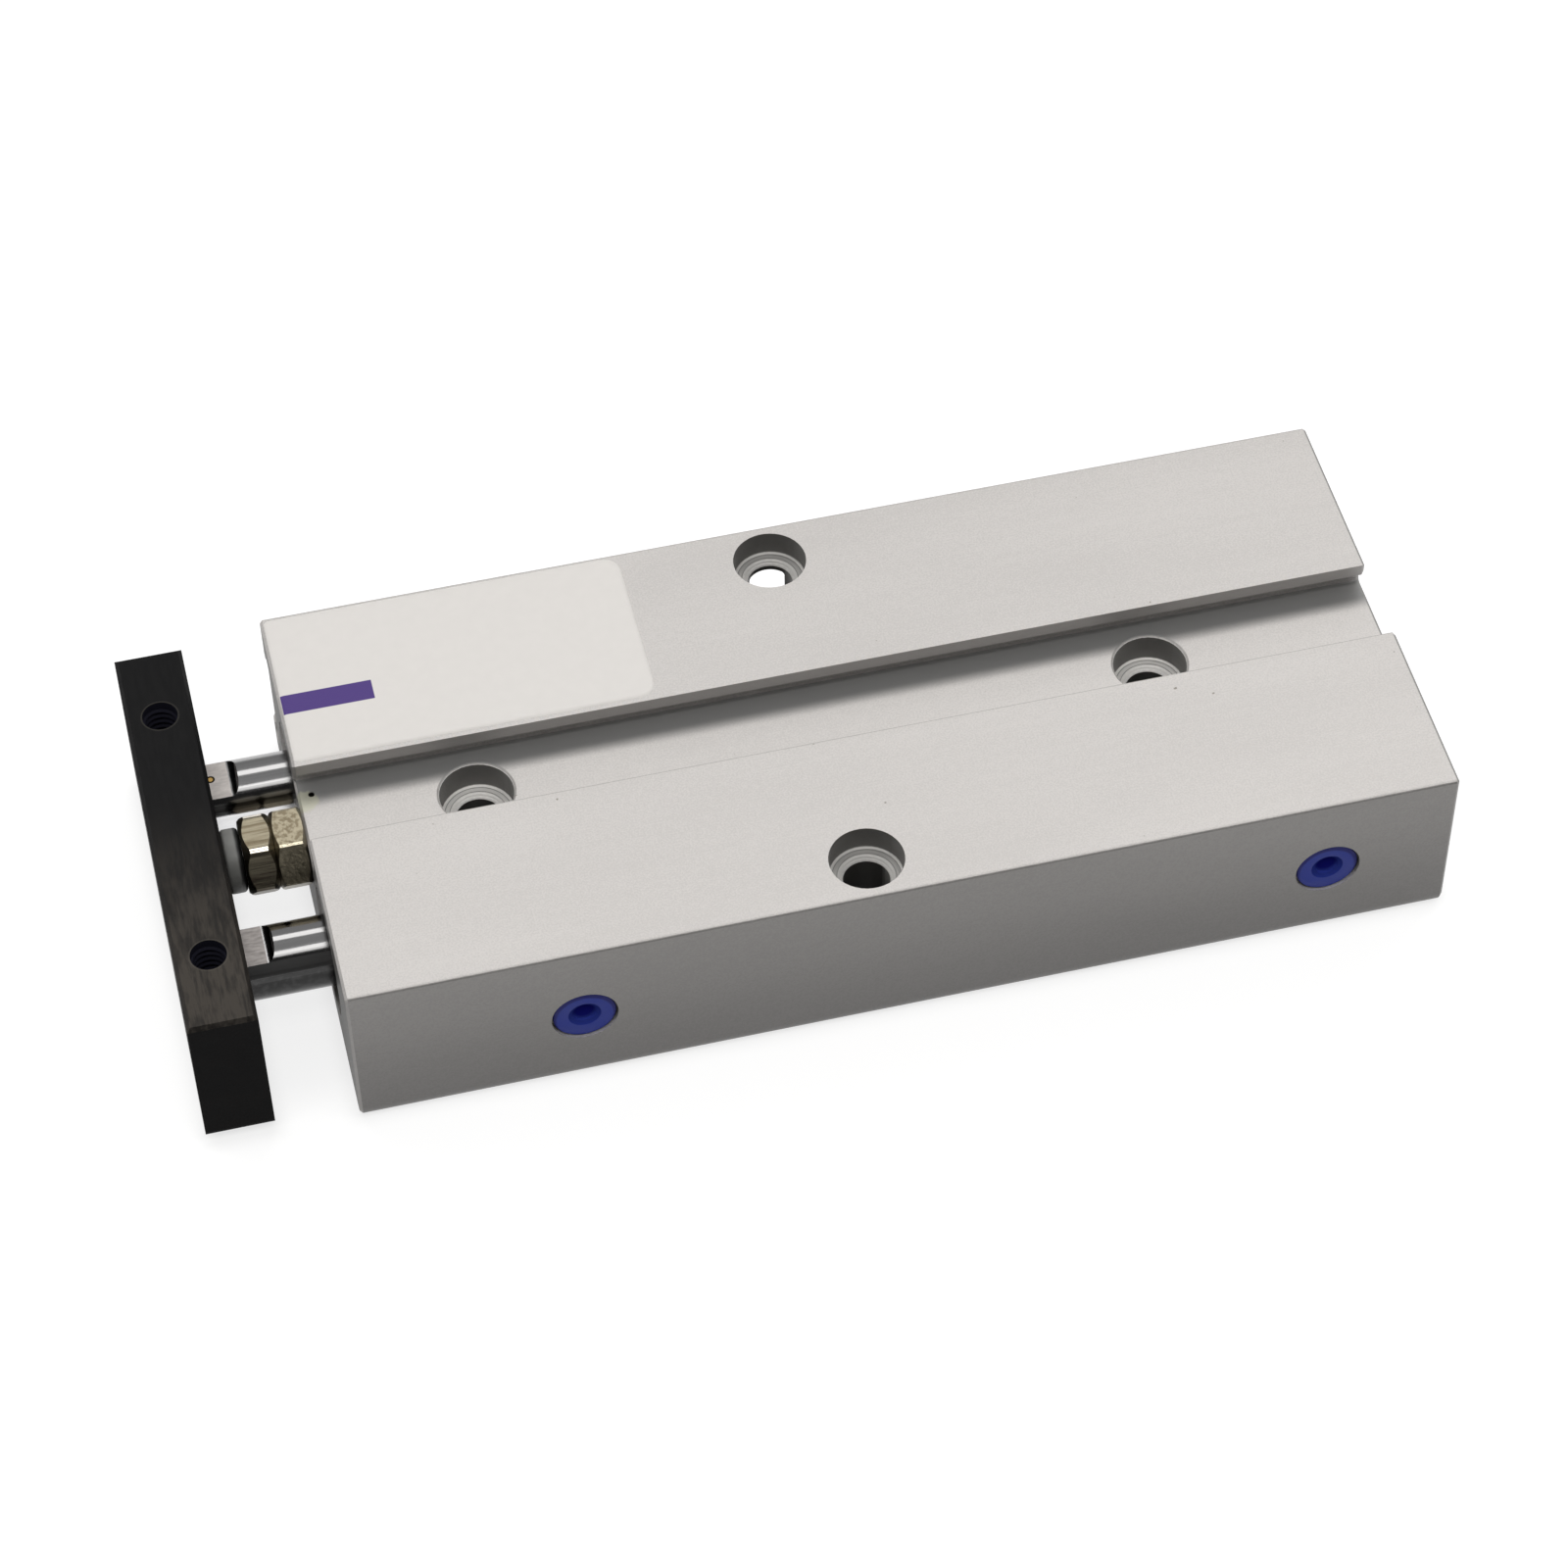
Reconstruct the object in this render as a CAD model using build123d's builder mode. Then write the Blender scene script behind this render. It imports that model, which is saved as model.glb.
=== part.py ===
from build123d import *
import os
from math import cos, radians, tan

os.makedirs("parts", exist_ok=True)

# Guided pneumatic cylinder with two piston rods, drawn retracted
# The rods leave the housing towards -X, the ports face -Y, the housing stands on its base at Z = 0
# The origin lies on the base, at the centre of the diamond of four mounting holes

# Clearances between pieces
running_clearance = 0.03
seat_clearance = 0.02
seal_clearance = 0.05
thread_clearance = 0.02
stop_clearance = 0.05
plug_clearance = 0.05
rod_free_clearance = 0.2

# Stroke, and the free length left behind the retracted pistons
stroke = 50.0
rear_air_space = 4.23

# Housing extrusion, whose length follows from what its bores hold
housing_width = 46.0
housing_height = 18.0
base_corner_radius = 1.8
top_corner_radius = 0.35
end_chamfer = 0.25
slot_opening = 8.7
slot_undercut_width = 10.8
slot_depth = 3.1
slot_lip_thickness = 1.3
slot_floor_radius = 0.3
extraction_hole_diameter = 0.6
extraction_hole_depth = 0.9
extraction_hole_from_end = 1.3
extraction_hole_offset = 3.4

# Mounting holes for M4 screws
channel_hole_from_rod_end = 16.0
channel_hole_from_rear_end = 22.2
side_hole_from_side = 4.4
mount_hole_diameter = 4.3
mount_head_diameter = 6.9
side_head_depth = 2.6
channel_head_depth = 3.1
mount_cone_diameter = 5.3
head_floor_radius = 0.25
channel_rim_chamfer = 0.2
base_rim_chamfer = 0.2

# Bores, covers and air ways
bore_diameter = 10.0
rod_pitch = 20.0
cover_bore_diameter = 12.0
cover_setback = 2.3
rod_cover_length = 16.1
rear_cover_length = 7.6
cover_chamfer = 0.4
circlip_thickness = 1.0
circlip_groove_diameter = 12.9
circlip_width = 1.3
circlip_side_play = 0.05
circlip_opening_angle = 70.0
circlip_lug_diameter = 2.2
circlip_lug_hole_diameter = 0.9
circlip_lug_angle = 8.0
circlip_lug_setback = 0.4
cover_seal_thickness = 1.0
cover_seal_edge_radius = 0.35
port_from_rod_end = 21.0
port_from_rear_end = 11.8
port_thread_minor_diameter = 4.2
port_thread_depth = 5.6
port_mouth_diameter = 6.1
port_mouth_depth = 0.6
air_way_diameter = 2.5

# Rods
rod_diameter = 6.6
plate_gap = 7.6
rod_seat_depth = 1.5
rod_end_chamfer = 0.3
flat_across = 5.0
flat_length = 1.9
flat_runout_radius = 0.95
rod_spigot_diameter = 4.6
rod_spigot_length = 13.0

# Rod guide and rod seal
bushing_wall = 1.2
bushing_length = 9.5
bushing_chamfer = 0.3
rod_seal_wall = 1.6
rod_seal_length = 3.2
rod_seal_setback = 1.0
seal_lip_depth = 1.4
seal_lip_gap = 0.5
cushion_thickness = 1.4
cushion_wall = 1.2
cushion_edge_radius = 0.28

# Pistons
piston_length = 16.5
piston_clearance = 0.05
piston_chamfer = 0.1
piston_nose_diameter = 8.2
piston_nose_length = 3.2
wear_ring_width = 3.0
wear_ring_thickness = 0.7
magnet_width = 2.4
magnet_thickness = 1.3
piston_seal_width = 2.0
piston_seal_thickness = 1.2
piston_seal_edge_radius = 0.35
piston_land = 1.0
piston_screw_head_diameter = 5.6
piston_screw_head_height = 1.7

# End plate
plate_thickness = 6.3
plate_width = 44.4
plate_height = 16.0
plate_corner_radius = 0.9
plate_edge_chamfer = 0.35
plate_top_hole_spacing = 28.6
plate_face_hole_spacing = 37.0
plate_thread_minor_diameter = 3.3
plate_top_hole_depth = 7.0
plate_screw_head_diameter = 5.5
plate_screw_head_height = 3.0
plate_head_recess_diameter = 5.9
plate_screw_hole_diameter = 3.4

# Screws
rod_thread_diameter = 3.0
rod_thread_length = 7.0
plate_socket_across = 2.5
plate_socket_depth = 1.5
piston_socket_across = 2.0
piston_socket_depth = 0.9

# Retract stop on the rod end of the housing
stop_height = 12.0
stop_thread_diameter = 4.0
stop_thread_depth = 7.0
nut_across = 7.0
nut_thickness = 2.9
nut_gap = 0.03
nut_turn = -5.0
nut_corner_chamfer = 0.33
stud_tip_chamfer = 0.4
stop_bumper_diameter = 6.0
stop_bumper_edge_radius = 0.25
stop_bumper_rear_chamfer = 0.4
stop_bumper_drop = 0.25
stop_spigot_diameter = 2.4
stop_spigot_length = 1.0

# Port plugs
plug_recess_diameter = 2.2
plug_recess_depth = 3.2
plug_edge_radius = 0.28
plug_shank_length = 4.6

# Label
label_length = 33.8
label_thickness = 0.1
label_corner_radius = 1.6
label_end_margin = 0.3
label_slot_margin = 0.5
label_side_margin = 0.45

# Places worked out from the sizes above
front_end_length = cover_setback + rod_cover_length + cushion_thickness + stop_clearance
piston_end_length = piston_length + seat_clearance + piston_screw_head_height
rear_end_length = rear_air_space + rear_cover_length + cover_setback
housing_length = front_end_length + stroke + piston_end_length + rear_end_length
channel_hole_spacing = housing_length - channel_hole_from_rod_end - channel_hole_from_rear_end
side_hole_spacing = housing_width - 2 * side_hole_from_side
rod_end_x = -channel_hole_from_rod_end - channel_hole_spacing / 2
rear_end_x = rod_end_x + housing_length
axis_z = housing_height / 2
slot_floor_z = housing_height - slot_depth
far_slot_top_z = axis_z + slot_undercut_width / 2
front_port_x = rod_end_x + port_from_rod_end
rear_port_x = rear_end_x - port_from_rear_end
cover_inner_x = rod_end_x + cover_setback + rod_cover_length
rear_cover_x = rear_end_x - cover_setback - rear_cover_length
plate_rear_x = rod_end_x - plate_gap
plate_front_x = plate_rear_x - plate_thickness
piston_front_x = rod_end_x + front_end_length + stroke
piston_rear_x = piston_front_x + piston_length
bores = {"near": -rod_pitch / 2, "far": rod_pitch / 2}
cover_groove_width = cover_seal_thickness + 2 * seat_clearance
rod_cover_groove_x = cover_inner_x - (rod_cover_length + cover_groove_width) / 2
rear_cover_groove_x = rear_cover_x + (rear_cover_length - cover_groove_width) / 2

# Radii shared by pieces that fit each other
cover_radius = cover_bore_diameter / 2 - seat_clearance
cover_seal_radius = cover_bore_diameter / 2 - seat_clearance / 2
bushing_radius = rod_diameter / 2 + bushing_wall
rod_seal_radius = rod_diameter / 2 + rod_seal_wall
rod_free_radius = rod_diameter / 2 + rod_free_clearance
piston_radius = bore_diameter / 2 - piston_clearance

# Half the angle between two corners of a hexagon, and how near two sizes lie that count as the same
hexagon_half_angle = radians(30)
same_size = 0.01

# Places along a piston, measured from its front face
wear_ring_place = piston_nose_length + piston_land
magnet_place = wear_ring_place + wear_ring_width + piston_land
piston_seal_place = magnet_place + magnet_width + piston_land


def across_rod(x, y=0.0):
    """Plane square to the rods at the place x, looking along +X, centred on the axis at y."""
    return Plane(origin=(x, y, axis_z), x_dir=(0, 1, 0), z_dir=(1, 0, 0))


def ring(outer_radius, inner_radius):
    """Draw a flat ring in the open sketch."""
    Circle(outer_radius)
    Circle(inner_radius, mode=Mode.SUBTRACT)


def round_edges(builder, diameter, heights):
    """Find the builder's round edges of one diameter that lie at one of the given heights."""
    circles = builder.edges().filter_by(GeomType.CIRCLE)
    sized = circles.filter_by(lambda edge: abs(edge.radius - diameter / 2) < same_size)
    return sized.filter_by(lambda edge: min(abs(edge.center().Z - z) for z in heights) < same_size)


def channel_profile():
    """Cut the profile of a channel with two lips, its mouth on the local X axis and its floor below."""
    Rectangle(slot_opening, slot_lip_thickness, align=(Align.CENTER, Align.MAX), mode=Mode.SUBTRACT)
    with Locations((0, -slot_lip_thickness)):
        RectangleRounded(
            slot_undercut_width,
            slot_depth - slot_lip_thickness,
            slot_floor_radius,
            align=(Align.CENTER, Align.MAX),
            mode=Mode.SUBTRACT,
        )


# Housing: extruded profile with a sensor channel along its top and another along its far side
with BuildPart() as housing:
    with BuildSketch(Plane(origin=(rod_end_x, 0, 0), x_dir=(0, 1, 0), z_dir=(1, 0, 0))):
        with Locations((0, housing_height / 2)):
            Rectangle(housing_width, housing_height)
        top_mouth = Location((0, housing_height, 0))
        far_mouth = Location((housing_width / 2, axis_z, 0), (0, 0, -90))
        with Locations(top_mouth, far_mouth):
            channel_profile()
    extrude(amount=housing_length)
    long_edges = housing.edges().filter_by(Axis.X)
    base_edges = long_edges.group_by(Axis.Z)[0]
    fillet(base_edges, base_corner_radius)
    top_edges = housing.edges().filter_by(Axis.X).group_by(Axis.Z)[-1]
    outer_top_edges = ShapeList([top_edges.sort_by(Axis.Y)[0], top_edges.sort_by(Axis.Y)[-1]])
    fillet(outer_top_edges, top_corner_radius)
    for end_face in (housing.faces().sort_by(Axis.X)[0], housing.faces().sort_by(Axis.X)[-1]):
        chamfer(end_face.outer_wire().edges(), end_chamfer)

    # Bores for the pistons, with wider seats for the covers
    with BuildSketch(across_rod(rod_end_x)):
        with Locations((bores["near"], 0), (bores["far"], 0)):
            Circle(bore_diameter / 2)
    extrude(amount=housing_length, mode=Mode.SUBTRACT)
    with BuildSketch(across_rod(rod_end_x)):
        with Locations((bores["near"], 0), (bores["far"], 0)):
            Circle(cover_bore_diameter / 2)
    extrude(amount=cover_setback + rod_cover_length, mode=Mode.SUBTRACT)
    with BuildSketch(across_rod(rear_cover_x)):
        with Locations((bores["near"], 0), (bores["far"], 0)):
            Circle(cover_bore_diameter / 2)
    extrude(amount=cover_setback + rear_cover_length, mode=Mode.SUBTRACT)

    # Grooves that hold the circlips
    groove_width = circlip_thickness + 2 * circlip_side_play
    front_groove_x = rod_end_x + cover_setback - groove_width
    rear_groove_x = rear_end_x - cover_setback
    for groove_x in (front_groove_x, rear_groove_x):
        with BuildSketch(across_rod(groove_x)):
            with Locations((bores["near"], 0), (bores["far"], 0)):
                Circle(circlip_groove_diameter / 2)
        extrude(amount=groove_width, mode=Mode.SUBTRACT)

    # Mounting holes: two at the sides, two in the floor of the channel
    with Locations(Plane.XY.offset(housing_height)):
        with Locations((0, -side_hole_spacing / 2), (0, side_hole_spacing / 2)):
            CounterBoreHole(mount_hole_diameter / 2, mount_head_diameter / 2, side_head_depth)
    with Locations(Plane.XY.offset(slot_floor_z)):
        with Locations((-channel_hole_spacing / 2, 0), (channel_hole_spacing / 2, 0)):
            CounterBoreHole(mount_hole_diameter / 2, mount_head_diameter / 2, channel_head_depth)
    side_floor_z = housing_height - side_head_depth
    channel_floor_z = slot_floor_z - channel_head_depth
    head_floors = (side_floor_z, channel_floor_z)
    floor_wall = side_floor_z - far_slot_top_z
    cone_width = min((mount_cone_diameter - mount_hole_diameter) / 2, floor_wall / 2)
    fillet(round_edges(housing, mount_head_diameter, head_floors), head_floor_radius)
    chamfer(round_edges(housing, mount_hole_diameter, head_floors), cone_width)
    chamfer(round_edges(housing, mount_head_diameter, (slot_floor_z,)), channel_rim_chamfer)
    chamfer(round_edges(housing, mount_hole_diameter, (0.0,)), base_rim_chamfer)

    # Air ports in the near side, each with a way on into both bores
    with BuildSketch(Plane.XZ.offset(housing_width / 2)):
        with Locations((front_port_x, axis_z), (rear_port_x, axis_z)):
            Circle(port_mouth_diameter / 2)
    extrude(amount=-port_mouth_depth, mode=Mode.SUBTRACT)
    with BuildSketch(Plane.XZ.offset(housing_width / 2)):
        with Locations((front_port_x, axis_z), (rear_port_x, axis_z)):
            Circle(port_thread_minor_diameter / 2)
    extrude(amount=-port_thread_depth, mode=Mode.SUBTRACT)
    with BuildSketch(Plane.XZ.offset(housing_width / 2)):
        with Locations((front_port_x, axis_z), (rear_port_x, axis_z)):
            Circle(air_way_diameter / 2)
    extrude(amount=-(housing_width + rod_pitch) / 2, mode=Mode.SUBTRACT)

    # Tapped hole for the retract stop
    with BuildSketch(Plane(origin=(rod_end_x, 0, stop_height), x_dir=(0, 1, 0), z_dir=(1, 0, 0))):
        Circle(stop_thread_diameter / 2 + thread_clearance)
    extrude(amount=stop_thread_depth + 2 * seat_clearance, mode=Mode.SUBTRACT)

    # Small blind hole in the floor of the channel at the rod end
    with Locations(Plane.XY.offset(slot_floor_z)):
        with Locations((rod_end_x + extraction_hole_from_end, extraction_hole_offset)):
            Hole(extraction_hole_diameter / 2, extraction_hole_depth)
housing.part.label = "housing"
export_step(housing.part, "parts/housing.step")

# Label on the far land of the top face
label_width = (housing_width - slot_opening) / 2 - label_slot_margin - label_side_margin
label_y = slot_opening / 2 + label_slot_margin + label_width / 2
with BuildPart() as label:
    with BuildSketch(Plane.XY.offset(housing_height)):
        with Locations((rod_end_x + label_end_margin + label_length / 2, label_y)):
            RectangleRounded(label_length, label_width, label_corner_radius)
    extrude(amount=label_thickness)
label.part.label = "label"
export_step(label.part, "parts/label.step")

# Pieces that each bore holds, fixed to the housing
for side, bore_y in bores.items():

    # Rod cover: sleeve with pockets for the rod seal and the guide bushing
    with BuildPart() as rod_cover:
        with BuildSketch(across_rod(rod_end_x + cover_setback, bore_y)):
            ring(cover_radius, rod_free_radius)
        extrude(amount=rod_cover_length)
        chamfer(rod_cover.edges().filter_by(GeomType.CIRCLE).sort_by(SortBy.RADIUS)[-2:], cover_chamfer)
        with BuildSketch(across_rod(rod_end_x + cover_setback + rod_seal_setback, bore_y)):
            Circle(rod_seal_radius + seat_clearance)
        extrude(amount=rod_seal_length + 2 * seat_clearance, mode=Mode.SUBTRACT)
        with BuildSketch(across_rod(cover_inner_x, bore_y)):
            Circle(bushing_radius + seat_clearance)
        extrude(amount=-bushing_length - seat_clearance, mode=Mode.SUBTRACT)
        with BuildSketch(across_rod(rod_cover_groove_x, bore_y)):
            ring(cover_radius + cover_chamfer, cover_radius - cover_seal_thickness)
        extrude(amount=cover_groove_width, mode=Mode.SUBTRACT)
    rod_cover.part.label = f"{side}_rod_cover"
    export_step(rod_cover.part, f"parts/{side}_rod_cover.step")

    # Seal ring around the rod cover
    with BuildPart() as cover_seal:
        with BuildSketch(across_rod(rod_cover_groove_x + seat_clearance, bore_y)):
            ring(cover_seal_radius, cover_seal_radius - cover_seal_thickness)
        extrude(amount=cover_seal_thickness)
        fillet(cover_seal.edges().filter_by(GeomType.CIRCLE), cover_seal_edge_radius)
    cover_seal.part.label = f"{side}_cover_seal"
    export_step(cover_seal.part, f"parts/{side}_cover_seal.step")

    # Guide bushing that the rod runs in
    with BuildPart() as bushing:
        with BuildSketch(across_rod(cover_inner_x, bore_y)):
            ring(bushing_radius, rod_diameter / 2 + running_clearance)
        extrude(amount=-bushing_length)
        chamfer(bushing.edges().filter_by(GeomType.CIRCLE).sort_by(SortBy.RADIUS)[:2], bushing_chamfer)
    bushing.part.label = f"{side}_rod_bushing"
    export_step(bushing.part, f"parts/{side}_rod_bushing.step")

    # Rod seal with a lip that opens towards the pressure
    rod_seal_x = rod_end_x + cover_setback + rod_seal_setback + seat_clearance
    with BuildPart() as rod_seal:
        with BuildSketch(across_rod(rod_seal_x, bore_y)):
            ring(rod_seal_radius, rod_diameter / 2 + seal_clearance)
        extrude(amount=rod_seal_length)
        with BuildSketch(across_rod(rod_seal_x + rod_seal_length, bore_y)):
            middle = (rod_seal_radius + rod_diameter / 2) / 2
            ring(middle + seal_lip_gap / 2, middle - seal_lip_gap / 2)
        extrude(amount=-seal_lip_depth, mode=Mode.SUBTRACT)
    rod_seal.part.label = f"{side}_rod_seal"
    export_step(rod_seal.part, f"parts/{side}_rod_seal.step")

    # Cushion ring that stops the piston at the end of the stroke
    with BuildPart() as cushion:
        with BuildSketch(across_rod(cover_inner_x, bore_y)):
            ring(rod_free_radius + cushion_wall, rod_free_radius)
        extrude(amount=cushion_thickness)
        fillet(cushion.edges().filter_by(GeomType.CIRCLE).sort_by(Axis.X)[-2:], cushion_edge_radius)
    cushion.part.label = f"{side}_cushion_ring"
    export_step(cushion.part, f"parts/{side}_cushion_ring.step")

    # Rear cover: plain disc with a groove for its seal
    with BuildPart() as rear_cover:
        with BuildSketch(across_rod(rear_cover_x, bore_y)):
            Circle(cover_radius)
        extrude(amount=rear_cover_length)
        chamfer(rear_cover.edges().filter_by(GeomType.CIRCLE), cover_chamfer)
        with BuildSketch(across_rod(rear_cover_groove_x, bore_y)):
            ring(cover_radius + cover_chamfer, cover_radius - cover_seal_thickness)
        extrude(amount=cover_groove_width, mode=Mode.SUBTRACT)
    rear_cover.part.label = f"{side}_rear_cover"
    export_step(rear_cover.part, f"parts/{side}_rear_cover.step")

    # Seal ring around the rear cover
    with BuildPart() as rear_seal:
        with BuildSketch(across_rod(rear_cover_groove_x + seat_clearance, bore_y)):
            ring(cover_seal_radius, cover_seal_radius - cover_seal_thickness)
        extrude(amount=cover_seal_thickness)
        fillet(rear_seal.edges().filter_by(GeomType.CIRCLE), cover_seal_edge_radius)
    rear_seal.part.label = f"{side}_rear_seal"
    export_step(rear_seal.part, f"parts/{side}_rear_seal.step")

    # Circlips: one in front of the rod cover, one behind the rear cover
    clip_radius = circlip_groove_diameter / 2 - seat_clearance
    lug_radius = clip_radius - circlip_lug_diameter / 2 - circlip_lug_setback
    lug_angle = circlip_opening_angle / 2 + circlip_lug_angle
    for place, groove_x in (("front", front_groove_x), ("rear", rear_groove_x)):
        with BuildPart() as circlip:
            with BuildSketch(across_rod(groove_x + circlip_side_play, bore_y)):
                ring(clip_radius, clip_radius - circlip_width)
                with BuildLine():
                    reach = 2 * clip_radius
                    half = reach * tan(radians(circlip_opening_angle / 2))
                    Polyline((0, 0), (-half, -reach), (half, -reach), close=True)
                make_face(mode=Mode.SUBTRACT)
                with PolarLocations(lug_radius, 2, start_angle=-90 - lug_angle, angular_range=4 * lug_angle):
                    Circle(circlip_lug_diameter / 2)
                    Circle(circlip_lug_hole_diameter / 2, mode=Mode.SUBTRACT)
            extrude(amount=circlip_thickness)
        circlip.part.label = f"{side}_{place}_circlip"
        export_step(circlip.part, f"parts/{side}_{place}_circlip.step")

# Retract stop: stud in the housing, locked by two nuts, with a bumper on its end
stop_plane = Plane(origin=(rod_end_x, 0, stop_height), x_dir=(0, 1, 0), z_dir=(-1, 0, 0))
nut_places = (nut_gap, 2 * nut_gap + nut_thickness)
nuts_length = 2 * (nut_gap + nut_thickness)
bumper_front = plate_gap - stop_clearance
with BuildPart() as stop_stud:
    with BuildSketch(stop_plane.offset(-stop_thread_depth)):
        Circle(stop_thread_diameter / 2)
    extrude(amount=stop_thread_depth + nuts_length)
    with BuildSketch(stop_plane.offset(nuts_length)):
        Circle(stop_spigot_diameter / 2)
    extrude(amount=stop_spigot_length)
    chamfer(stop_stud.edges().sort_by(Axis.X)[-1], stud_tip_chamfer)
stop_stud.part.label = "stop_stud"
export_step(stop_stud.part, "parts/stop_stud.step")

with BuildPart() as stop_nuts:
    for place in nut_places:
        with BuildSketch(stop_plane.offset(place)):
            RegularPolygon(nut_across / 2, 6, major_radius=False, rotation=nut_turn)
            Circle(stop_thread_diameter / 2 + thread_clearance, mode=Mode.SUBTRACT)
        extrude(amount=nut_thickness)
    # The corners are turned off at both faces of each nut
    corner_radius = nut_across / 2 / cos(hexagon_half_angle)
    face_radius = corner_radius - nut_corner_chamfer / tan(hexagon_half_angle)
    with BuildSketch(Plane(origin=(rod_end_x, 0, stop_height), x_dir=(-1, 0, 0), z_dir=(0, 1, 0))):
        for place in nut_places:
            with BuildLine():
                Polyline(
                    (place, 0),
                    (place, face_radius),
                    (place + nut_corner_chamfer, corner_radius),
                    (place + nut_thickness - nut_corner_chamfer, corner_radius),
                    (place + nut_thickness, face_radius),
                    (place + nut_thickness, 0),
                    close=True,
                )
            make_face()
    revolve(axis=Axis((rod_end_x, 0, stop_height), (1, 0, 0)), mode=Mode.INTERSECT)
stop_nuts.part.label = "stop_nuts"
export_step(stop_nuts.part, "parts/stop_nuts.step")

with BuildPart() as stop_bumper:
    with BuildSketch(stop_plane.offset(nuts_length + seat_clearance)):
        # The soft disc hangs a little low on the stud
        with Locations((0, stop_bumper_drop)):
            Circle(stop_bumper_diameter / 2)
    extrude(amount=bumper_front - nuts_length - seat_clearance)
    fillet(stop_bumper.edges().sort_by(Axis.X)[0], stop_bumper_edge_radius)
    chamfer(stop_bumper.edges().sort_by(Axis.X)[-1], stop_bumper_rear_chamfer)
    with BuildSketch(stop_plane.offset(nuts_length)):
        Circle(stop_spigot_diameter / 2 + seat_clearance)
    extrude(amount=stop_spigot_length + seat_clearance, mode=Mode.SUBTRACT)
stop_bumper.part.label = "stop_bumper"
export_step(stop_bumper.part, "parts/stop_bumper.step")

# Plugs that close the air ports
flange_thickness = port_mouth_depth - plug_clearance
for place, port_x in (("front", front_port_x), ("rear", rear_port_x)):
    with BuildPart() as port_plug:
        with BuildSketch(Plane.XZ.offset(housing_width / 2)):
            with Locations((port_x, axis_z)):
                Circle(port_mouth_diameter / 2 - plug_clearance)
        extrude(amount=-flange_thickness)
        fillet(port_plug.edges().sort_by(Axis.Y)[0], plug_edge_radius)
        with BuildSketch(Plane.XZ.offset(housing_width / 2 - flange_thickness)):
            with Locations((port_x, axis_z)):
                Circle(port_thread_minor_diameter / 2 - plug_clearance)
        extrude(amount=-plug_shank_length + flange_thickness)
        with BuildSketch(Plane.XZ.offset(housing_width / 2)):
            with Locations((port_x, axis_z)):
                Circle(plug_recess_diameter / 2)
        extrude(amount=-plug_recess_depth, mode=Mode.SUBTRACT)
    port_plug.part.label = f"{place}_port_plug"
    export_step(port_plug.part, f"parts/{place}_port_plug.step")

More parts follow.
